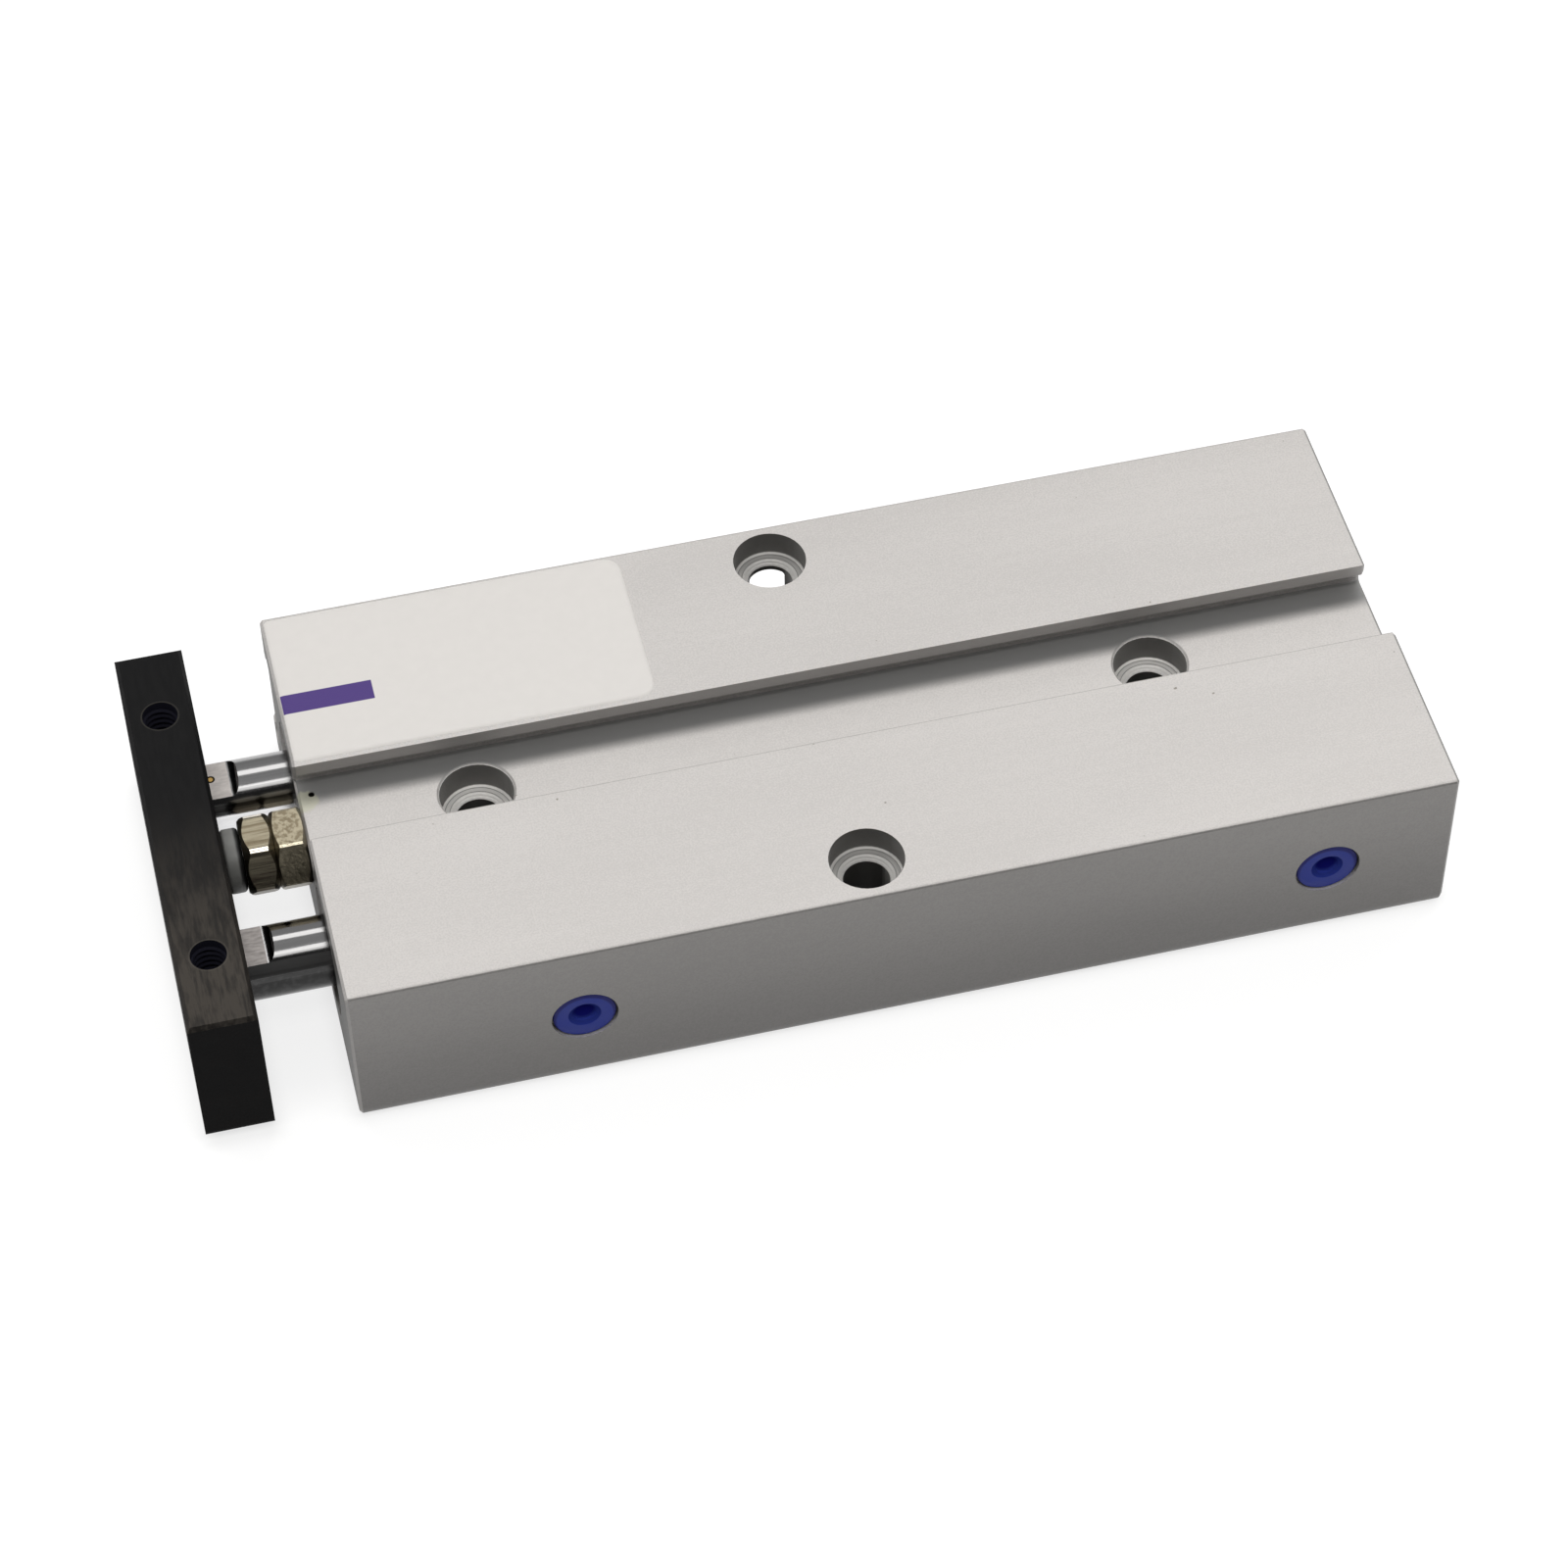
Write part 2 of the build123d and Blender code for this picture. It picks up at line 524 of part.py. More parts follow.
# Pieces that each rod carries in its bore
for side, bore_y in bores.items():

    # Rod: flats beside the plate, a spigot for the piston and a tapped hole in each end
    rod_front_x = plate_rear_x - rod_seat_depth + seat_clearance
    with BuildPart() as rod:
        with BuildSketch(across_rod(rod_front_x, bore_y)):
            Circle(rod_diameter / 2)
        extrude(amount=piston_front_x - rod_front_x)
        chamfer(rod.edges().filter_by(GeomType.CIRCLE), rod_end_chamfer)
        with BuildSketch(across_rod(piston_front_x - rod_end_chamfer, bore_y)):
            Circle(rod_spigot_diameter / 2)
        extrude(amount=rod_end_chamfer + rod_spigot_length)
        with BuildSketch(Plane.XZ.offset(-bore_y - rod_diameter)):
            flat_end_x = plate_rear_x + flat_length
            for up in (1, -1):
                flat_z = axis_z + up * flat_across / 2
                above_z = axis_z + up * (flat_across / 2 + flat_runout_radius)
                clear_z = axis_z + up * rod_diameter
                with BuildLine():
                    Polyline(
                        (flat_end_x + flat_runout_radius, above_z),
                        (flat_end_x + flat_runout_radius, clear_z),
                        (plate_rear_x, clear_z),
                        (plate_rear_x, flat_z),
                        (flat_end_x, flat_z),
                    )
                    RadiusArc(
                        (flat_end_x, flat_z),
                        (flat_end_x + flat_runout_radius, above_z),
                        -up * flat_runout_radius,
                    )
                make_face()
        extrude(amount=2 * rod_diameter, mode=Mode.SUBTRACT)
        with BuildSketch(across_rod(rod_front_x, bore_y)):
            Circle(rod_thread_diameter / 2 + thread_clearance)
        extrude(amount=rod_thread_length, mode=Mode.SUBTRACT)
        with BuildSketch(across_rod(piston_front_x + rod_spigot_length, bore_y)):
            Circle(rod_thread_diameter / 2 + thread_clearance)
        extrude(amount=-rod_thread_length, mode=Mode.SUBTRACT)
    rod.part.label = f"{side}_rod"
    export_step(rod.part, f"parts/{side}_rod.step")

    # Piston: nose, grooves for wear ring, magnet and seal, seat on the rod's spigot
    with BuildPart() as piston:
        with BuildSketch(across_rod(piston_front_x + piston_nose_length, bore_y)):
            Circle(piston_radius)
        extrude(amount=piston_length - piston_nose_length)
        chamfer(piston.edges().filter_by(GeomType.CIRCLE), piston_chamfer)
        with BuildSketch(across_rod(piston_front_x, bore_y)):
            Circle(piston_nose_diameter / 2)
        extrude(amount=piston_nose_length)
        grooves = [
            (wear_ring_place, wear_ring_width, wear_ring_thickness),
            (piston_seal_place, piston_seal_width, piston_seal_thickness),
        ]
        if side == "near":
            grooves.append((magnet_place, magnet_width, magnet_thickness))
        for groove_place, groove_length, groove_depth in grooves:
            with BuildSketch(across_rod(piston_front_x + groove_place, bore_y)):
                ring(bore_diameter / 2, piston_radius - groove_depth)
            extrude(amount=groove_length + 2 * seat_clearance, mode=Mode.SUBTRACT)
        with BuildSketch(across_rod(piston_front_x, bore_y)):
            Circle(rod_spigot_diameter / 2 + seat_clearance)
        extrude(amount=rod_spigot_length + seat_clearance, mode=Mode.SUBTRACT)
        with BuildSketch(across_rod(piston_rear_x, bore_y)):
            Circle(rod_thread_diameter / 2 + thread_clearance)
        extrude(amount=-piston_length, mode=Mode.SUBTRACT)
    piston.part.label = f"{side}_piston"
    export_step(piston.part, f"parts/{side}_piston.step")

    # Wear ring that carries the piston in its bore
    with BuildPart() as wear_ring:
        with BuildSketch(across_rod(piston_front_x + wear_ring_place + seat_clearance, bore_y)):
            ring(bore_diameter / 2 - running_clearance, piston_radius - wear_ring_thickness + seat_clearance)
        extrude(amount=wear_ring_width)
    wear_ring.part.label = f"{side}_wear_ring"
    export_step(wear_ring.part, f"parts/{side}_wear_ring.step")

    # Piston seal with rounded lips
    with BuildPart() as piston_seal:
        with BuildSketch(across_rod(piston_front_x + piston_seal_place + seat_clearance, bore_y)):
            seal_inner_radius = piston_radius - piston_seal_thickness + seat_clearance
            ring(bore_diameter / 2 - running_clearance, seal_inner_radius)
        extrude(amount=piston_seal_width)
        outer_rims = piston_seal.edges().filter_by(GeomType.CIRCLE).sort_by(SortBy.RADIUS)[-2:]
        fillet(outer_rims, piston_seal_edge_radius)
    piston_seal.part.label = f"{side}_piston_seal"
    export_step(piston_seal.part, f"parts/{side}_piston_seal.step")

# Magnet ring on the near piston, for a position sensor in the channel
with BuildPart() as magnet_ring:
    with BuildSketch(across_rod(piston_front_x + magnet_place + seat_clearance, bores["near"])):
        ring(piston_radius - seat_clearance, piston_radius - magnet_thickness + seat_clearance)
    extrude(amount=magnet_width)
magnet_ring.part.label = "magnet_ring"
export_step(magnet_ring.part, "parts/magnet_ring.step")

# Screws that hold the pistons on the rods
piston_screw_reach = piston_length - rod_spigot_length + rod_thread_length - 2 * seat_clearance
with BuildPart() as piston_screws:
    for bore_y in bores.values():
        with BuildSketch(across_rod(piston_rear_x + seat_clearance, bore_y)):
            Circle(piston_screw_head_diameter / 2)
        extrude(amount=piston_screw_head_height)
        with BuildSketch(across_rod(piston_rear_x + seat_clearance, bore_y)):
            Circle(rod_thread_diameter / 2)
        extrude(amount=-piston_screw_reach)
        with BuildSketch(across_rod(piston_rear_x + seat_clearance + piston_screw_head_height, bore_y)):
            RegularPolygon(piston_socket_across / 2, 6, major_radius=False)
        extrude(amount=-piston_socket_depth, mode=Mode.SUBTRACT)
piston_screws.part.label = "piston_screws"
export_step(piston_screws.part, "parts/piston_screws.step")

# End plate that joins the two rods
with BuildPart() as end_plate:
    with BuildSketch(across_rod(plate_front_x)):
        Rectangle(plate_width, plate_height)
    extrude(amount=plate_thickness)
    fillet(end_plate.edges().filter_by(Axis.X).group_by(Axis.Z)[0], plate_corner_radius)
    upper_edges = end_plate.faces().sort_by(Axis.Z)[-1].edges()
    chamfer(upper_edges, plate_edge_chamfer)
    with BuildSketch(across_rod(plate_rear_x)):
        with Locations((bores["near"], 0), (bores["far"], 0)):
            Circle(rod_diameter / 2 + seat_clearance)
    extrude(amount=-rod_seat_depth, mode=Mode.SUBTRACT)
    with BuildSketch(across_rod(plate_front_x)):
        with Locations((bores["near"], 0), (bores["far"], 0)):
            Circle(plate_screw_hole_diameter / 2)
    extrude(amount=plate_thickness, mode=Mode.SUBTRACT)
    with BuildSketch(across_rod(plate_front_x)):
        with Locations((bores["near"], 0), (bores["far"], 0)):
            Circle(plate_head_recess_diameter / 2)
    extrude(amount=plate_screw_head_height, mode=Mode.SUBTRACT)
    with BuildSketch(across_rod(plate_front_x)):
        with Locations((-plate_face_hole_spacing / 2, 0), (plate_face_hole_spacing / 2, 0)):
            Circle(plate_thread_minor_diameter / 2)
    extrude(amount=plate_thickness, mode=Mode.SUBTRACT)
    with BuildSketch(Plane.XY.offset(axis_z + plate_height / 2)):
        with Locations(
            (plate_front_x + plate_thickness / 2, -plate_top_hole_spacing / 2),
            (plate_front_x + plate_thickness / 2, plate_top_hole_spacing / 2),
        ):
            Circle(plate_thread_minor_diameter / 2)
    extrude(amount=-plate_top_hole_depth, mode=Mode.SUBTRACT)
end_plate.part.label = "end_plate"
export_step(end_plate.part, "parts/end_plate.step")

# Socket head screws that hold the plate on the rods
plate_web = plate_thickness - plate_screw_head_height - rod_seat_depth
plate_screw_reach = plate_web + rod_thread_length - 2 * seat_clearance
with BuildPart() as plate_screws:
    for bore_y in bores.values():
        with BuildSketch(across_rod(plate_front_x + plate_screw_head_height - seat_clearance, bore_y)):
            Circle(plate_screw_head_diameter / 2)
        extrude(amount=seat_clearance - plate_screw_head_height)
        with BuildSketch(across_rod(plate_front_x + plate_screw_head_height - seat_clearance, bore_y)):
            Circle(rod_thread_diameter / 2)
        extrude(amount=plate_screw_reach)
        with BuildSketch(across_rod(plate_front_x, bore_y)):
            RegularPolygon(plate_socket_across / 2, 6, major_radius=False)
        extrude(amount=plate_socket_depth, mode=Mode.SUBTRACT)
plate_screws.part.label = "plate_screws"
export_step(plate_screws.part, "parts/plate_screws.step")
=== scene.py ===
"""Looks of a guided pneumatic cylinder with two rods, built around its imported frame.

The housing lies along X with its rods towards -X, its air ports towards -Y and its sensor channel
upwards. Lengths are in millimetres in the dataclass fields and become metres where meshes are made.
Colours are linear.
"""

import logging
import math
from abc import ABC, abstractmethod
from dataclasses import dataclass
from enum import Enum
from functools import cached_property, reduce
from typing import Callable, Iterable, Sequence

import bmesh
import bpy
from mathutils import Matrix, Quaternion, Vector


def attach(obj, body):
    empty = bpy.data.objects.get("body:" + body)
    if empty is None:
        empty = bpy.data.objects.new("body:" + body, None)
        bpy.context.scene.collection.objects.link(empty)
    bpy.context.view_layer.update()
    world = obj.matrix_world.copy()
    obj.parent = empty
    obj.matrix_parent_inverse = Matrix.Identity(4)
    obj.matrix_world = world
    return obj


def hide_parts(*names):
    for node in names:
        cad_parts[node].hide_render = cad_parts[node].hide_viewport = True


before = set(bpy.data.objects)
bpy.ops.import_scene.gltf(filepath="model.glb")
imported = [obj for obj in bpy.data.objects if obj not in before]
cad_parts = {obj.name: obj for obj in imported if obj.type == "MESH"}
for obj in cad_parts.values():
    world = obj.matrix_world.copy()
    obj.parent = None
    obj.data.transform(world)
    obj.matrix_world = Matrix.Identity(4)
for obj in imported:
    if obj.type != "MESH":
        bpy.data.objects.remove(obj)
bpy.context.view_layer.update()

MM = 0.001
HOUSING_BODY = "housing_body"
CARRIAGE_BODY = "rod_carriage"

Mesh = bmesh.types.BMesh
Socket = bpy.types.NodeSocket
Triple = tuple[float, float, float]
Colour = Triple
Reach = tuple[float, float]
Spot = tuple[float, float]
Profile = Sequence[tuple[float, float]]
log = logging.getLogger("cylinder")


class Side(Enum):
    """The two bores: the near one towards the air ports, and the far one."""

    NEAR = "near"
    FAR = "far"


@dataclass(frozen=True)
class Pattern:
    """Noise over a piece.

    Attributes:
        scale: Number of blobs per millimetre.
        detail: Octaves of finer noise.
        stretch: Factors on the three axes; a small one draws the noise out along that axis.
        offset: Shift that makes one noise differ from another.
    """

    scale: float
    detail: float = 2.0
    stretch: Triple = (1.0, 1.0, 1.0)
    offset: float = 0.0

    def shift(self) -> Triple:
        """Shift of the noise on the three axes."""
        return self.offset, self.offset * 0.7, self.offset * 1.3


class Sheet:
    """A node tree, with short ways to place and join nodes."""

    def __init__(self, tree: bpy.types.NodeTree) -> None:
        """Take a node tree and empty it.

        Args:
            tree: Node tree of a material or of the world.
        """
        self.nodes = tree.nodes
        self.links = tree.links
        self.nodes.clear()

    def put(self, socket: Socket, value: object) -> None:
        """Join a socket to another one, or set its constant value.

        Args:
            socket: Input socket to fill.
            value: Another node's output socket, or a constant.
        """
        if isinstance(value, bpy.types.NodeSocket):
            self.links.new(value, socket)
        else:
            socket.default_value = value

    def vector(self, operation: str, first: object, second: object = None) -> Socket:
        """Add a vector calculation.

        Args:
            operation: Name of the calculation.
            first: First vector.
            second: Second vector, where the calculation has one.

        Returns:
            The node's vector output, or its value for a length.
        """
        node = self.nodes.new("ShaderNodeVectorMath")
        node.operation = operation
        self.put(node.inputs[0], first)
        if second is not None:
            self.put(node.inputs[1], second)
        return node.outputs["Value" if operation == "LENGTH" else "Vector"]

    def scaled(self, vector: Socket, factor: object) -> Socket:
        """Scale a vector or a colour.

        Args:
            vector: Vector or colour.
            factor: Number, or a socket that gives it.

        Returns:
            The scaled vector.
        """
        result = self.vector("SCALE", vector)
        self.put(result.node.inputs["Scale"], factor)
        return result

    def math(self, operation: str, first: object, second: object = 0.0, clamp: bool = False) -> Socket:
        """Add a calculation with one or two numbers.

        Args:
            operation: Name of the calculation.
            first: First number.
            second: Second number.
            clamp: Whether the result is kept between 0 and 1.

        Returns:
            The node's output.
        """
        node = self.nodes.new("ShaderNodeMath")
        node.operation = operation
        node.use_clamp = clamp
        self.put(node.inputs[0], first)
        self.put(node.inputs[1], second)
        return node.outputs[0]

    def fold(self, operation: str, values: Iterable[object]) -> Socket:
        """Run a calculation through several numbers, such as their MAXIMUM."""
        return reduce(lambda first, second: self.math(operation, first, second), values)

    def times(self, *factors: object) -> Socket:
        """Multiply numbers."""
        return self.fold("MULTIPLY", factors)

    def rest(self, share: Socket) -> Socket:
        """What a share lacks to 1."""
        return self.math("SUBTRACT", 1.0, share)

    def apart(self, value: Socket, place: float) -> Socket:
        """Distance of a number from a fixed one."""
        return self.math("ABSOLUTE", self.math("SUBTRACT", value, place))

    def split(self, vector: Socket) -> tuple[Socket, Socket, Socket]:
        """Take a vector apart into its X, Y and Z.

        Args:
            vector: The vector.

        Returns:
            Its three parts.
        """
        node = self.nodes.new("ShaderNodeSeparateXYZ")
        self.put(node.inputs[0], vector)
        return node.outputs[0], node.outputs[1], node.outputs[2]

    def range(self, value: Socket, low: float, high: float, start: float = 0.0, end: float = 1.0) -> Socket:
        """Map a range of values smoothly to another, clamped at both ends.

        Args:
            value: Number to map.
            low: Value that maps to start.
            high: Value that maps to end.
            start: Result at low.
            end: Result at high.

        Returns:
            The mapped number.
        """
        node = self.nodes.new("ShaderNodeMapRange")
        node.interpolation_type = "SMOOTHSTEP"
        for name, number in (("From Min", low), ("From Max", high), ("To Min", start), ("To Max", end)):
            node.inputs[name].default_value = number
        self.put(node.inputs["Value"], value)
        return node.outputs["Result"]

    def fade(self, value: Socket, low: float, high: float) -> Socket:
        """Mask that is 1 up to the low value and 0 from the high one."""
        return self.range(value, low, high, 1.0, 0.0)

    def mix(self, amount: object, first: object, second: object) -> Socket:
        """Blend two colours.

        Args:
            amount: Share of the second colour.
            first: First colour, or a socket.
            second: Second colour, or a socket.

        Returns:
            The blended colour.
        """
        node = self.nodes.new("ShaderNodeMix")
        node.data_type = "RGBA"
        self.put(node.inputs["Factor"], amount)
        self.put(node.inputs["A"], opaque(first))
        self.put(node.inputs["B"], opaque(second))
        return node.outputs["Result"]


class Board(Sheet):
    """A material's node tree around its Principled shader."""

    def __init__(self, name: str) -> None:
        """Make a material with its output and its shader.

        Args:
            name: Name of the new material.
        """
        self.material = bpy.data.materials.new(name)
        self.material.use_nodes = True
        super().__init__(self.material.node_tree)
        output = self.nodes.new("ShaderNodeOutputMaterial")
        self.shader = self.nodes.new("ShaderNodeBsdfPrincipled")
        self.links.new(self.shader.outputs["BSDF"], output.inputs["Surface"])
        self.place = self.scaled(self.nodes.new("ShaderNodeTexCoord").outputs["Object"], 1 / MM)

    @cached_property
    def at(self) -> tuple[Socket, Socket, Socket]:
        """X, Y and Z of the shaded point."""
        return self.split(self.place)

    @cached_property
    def facing(self) -> tuple[Socket, Socket, Socket]:
        """X, Y and Z of the face's normal."""
        return self.split(self.nodes.new("ShaderNodeNewGeometry").outputs["True Normal"])

    def set(self, name: str, value: object) -> None:
        """Fill one of the shader's sockets."""
        self.put(self.shader.inputs[name], value)

    def current(self, name: str) -> Socket:
        """Output that one of the shader's sockets is joined to."""
        return self.shader.inputs[name].links[0].from_socket

    def noise(self, pattern: Pattern) -> Socket:
        """Add a noise over the piece.

        Args:
            pattern: Size and direction of the noise.

        Returns:
            The noise between 0 and 1.
        """
        node = self.nodes.new("ShaderNodeTexNoise")
        node.inputs["Scale"].default_value = pattern.scale
        node.inputs["Detail"].default_value = pattern.detail
        shifted = self.vector("ADD", self.place, pattern.shift())
        self.put(node.inputs["Vector"], self.vector("MULTIPLY", shifted, pattern.stretch))
        return node.outputs["Fac"]

    def bump(self, height: Socket, depth: float, below: Socket | None = None) -> Socket:
        """Turn a height into a shading normal.

        Args:
            height: Height between 0 and 1.
            depth: Real depth of the relief in millimetres.
            below: Normal of a coarser relief under this one.

        Returns:
            The new normal.
        """
        node = self.nodes.new("ShaderNodeBump")
        node.inputs["Distance"].default_value = depth * MM
        node.inputs["Strength"].default_value = 1.0
        self.put(node.inputs["Height"], height)
        if below is not None:
            self.put(node.inputs["Normal"], below)
        return node.outputs["Normal"]

    def from_axis(self, centre: Triple, across: Triple = (1.0, 1.0, 0.0)) -> Socket:
        """Distance from an axis.

        Args:
            centre: A point of the axis.
            across: 1 for the axes that the distance is measured along, 0 for the other.

        Returns:
            The distance.
        """
        offset = self.vector("SUBTRACT", self.place, centre)
        return self.vector("LENGTH", self.vector("MULTIPLY", offset, across))

    def inside(self, centre: Spot, radius: float, soft: float = 0.02) -> Socket:
        """Mask of the upright cylinder around an X and a Y, with a soft edge."""
        return self.fade(self.from_axis((*centre, 0.0)), radius - soft, radius + soft)


def opaque(value: object) -> object:
    """Give a plain colour its alpha, and leave sockets as they are."""
    return value if isinstance(value, bpy.types.NodeSocket) else (*value, 1.0)


def share_of(colour: Colour, share: float) -> Colour:
    """Darken or lighten a colour, up to full brightness."""
    return tuple(min(1.0, part * share) for part in colour)


@dataclass(frozen=True)
class Finish(ABC):
    """Surface finish of one kind of piece.

    Attributes:
        name: Name of its material.
        colour: Base colour.
        roughness: Roughness of the shader.
        metallic: How much of the surface is bare metal.
    """

    name: str
    colour: Colour
    roughness: float
    metallic: float = 0.0

    @abstractmethod
    def detail(self, board: Board) -> None:
        """Add the finish's own detail to the board."""

    def material(self) -> bpy.types.Material:
        """Give the finish's material, made at its first use.

        Returns:
            The material.
        """
        title = f"{self.name}_finish"
        known = bpy.data.materials.get(title)
        if known is not None:
            return known
        board = Board(title)
        board.set("Base Color", opaque(self.colour))
        board.set("Roughness", self.roughness)
        board.set("Metallic", self.metallic)
        self.detail(board)
        return board.material

    def tone(self, board: Board, factor: Socket, darkest: float, lightest: float) -> Socket:
        """Vary the finish's colour between two shares of itself, by a factor between 0 and 1."""
        return board.mix(factor, share_of(self.colour, darkest), share_of(self.colour, lightest))


@dataclass(frozen=True)
class CounterboreLightAndShade:
    """Colours of the turned holes, mostly painted light and shade: pale floors, painted highlights on the
    fillets and countersinks, painted shadow lines at their edges, and walls and bores darkened as painted
    shade.

    Attributes:
        holes: X and Y of the holes.
        radius: Radius of the counterbores, with a little to spare.
        top_reach: Heights over which the marks end, just under the top face.
        floor_facing: Upward parts of the normal between walls and floors.
        land_reach: Distances from the middle between the channel's holes and the lands'.
        fillet_reach: Radii over which the seat passes into the fillet.
        sink_reach: Radii over which the countersink passes into the seat.
        bore_reach: Radii over which the bore ends.
        shadow_line_reach: Distances from a painted shadow line over which it fades.
        shadow_line_strength: Strength of the painted shadow lines.
        floor_colour: Colour of the floors, paler than the skin: partly the machined faces' own tone, partly
            painted light.
        wall_shade_colour: Colour of the walls, darkened as painted shade.
        bore_shade_colour: Colour of the bores, darkened as painted shade.
        seat_shares: Shares of the floor's colour on the seats, in the channel and on the lands; the
            channel's are lighter as painted light.
        highlight_shares: The same on the fillets and countersinks, which are painted highlights.
        shadow_line_share: Share of the floor's colour in the painted shadow lines.
    """

    holes: tuple[Spot, ...] = ((-32.0, 0.0), (32.0, 0.0), (0.0, -18.6), (0.0, 18.6))
    radius: float = 3.48
    top_reach: Reach = (17.97, 17.99)
    floor_facing: Reach = (0.35, 0.75)
    land_reach: Reach = (5.0, 6.0)
    fillet_reach: Reach = (3.12, 3.22)
    sink_reach: Reach = (2.62, 2.66)
    bore_reach: Reach = (2.17, 2.23)
    shadow_line_reach: Reach = (0.02, 0.06)
    shadow_line_strength: float = 0.8
    floor_colour: Colour = (0.99, 0.97, 0.94)
    wall_shade_colour: Colour = (0.17, 0.165, 0.158)
    bore_shade_colour: Colour = (0.06, 0.058, 0.055)
    seat_shares: tuple[float, float] = (0.92, 0.5)
    highlight_shares: tuple[float, float] = (1.0, 0.74)
    shadow_line_share: float = 0.2

    def nearest_axis(self, board: Board) -> Socket:
        """Distance from the nearest hole's axis."""
        return board.fold("MINIMUM", [board.from_axis((*hole, 0.0)) for hole in self.holes])

    def inside(self, board: Board) -> Socket:
        """Mask of everything inside the counterbores."""
        circles = [board.inside(hole, self.radius) for hole in self.holes]
        return board.times(board.fold("MAXIMUM", circles), board.fade(board.at[2], *self.top_reach))

    def floor(self, board: Board) -> Socket:
        """Colour the floors, from the fillet over the seat to the countersink, with painted highlights and
        painted shadow lines.

        Args:
            board: Board to build on.

        Returns:
            The colour.
        """
        from_axis = self.nearest_axis(board)
        on_land = board.range(board.math("ABSOLUTE", board.at[1]), *self.land_reach)
        # Painted light: the channel's seats are lighter than the lands', and the fillets and countersinks
        # are painted highlights.
        seat, highlight = (
            board.mix(on_land, *(share_of(self.floor_colour, share) for share in shares))
            for shares in (self.seat_shares, self.highlight_shares)
        )
        colour = board.mix(board.range(from_axis, *self.fillet_reach), seat, highlight)
        # Painted shadow lines at the fillet's edge and at the countersink's edge.
        shadow_line_colour = share_of(self.floor_colour, self.shadow_line_share)
        for radius in (self.fillet_reach[0], self.sink_reach[1]):
            line = board.range(board.apart(from_axis, radius), *self.shadow_line_reach, self.shadow_line_strength, 0.0)
            colour = board.mix(line, colour, shadow_line_colour)
        return board.mix(board.fade(from_axis, *self.sink_reach), colour, highlight)

    def paint(self, board: Board, skin: Socket) -> Socket:
        """Colour the holes, with painted shade on their walls and bores.

        Args:
            board: Board to build on.
            skin: Colour around them.

        Returns:
            The colour with the holes in it.
        """
        floor = board.range(board.facing[2], *self.floor_facing)
        # Painted shade: the walls and the bores are darkened where shade falls in the holes.
        walls = board.mix(floor, self.wall_shade_colour, self.floor(board))
        bore = board.fade(self.nearest_axis(board), *self.bore_reach)
        walls = board.mix(board.times(bore, board.rest(floor)), walls, self.bore_shade_colour)
        return board.mix(self.inside(board), skin, walls)


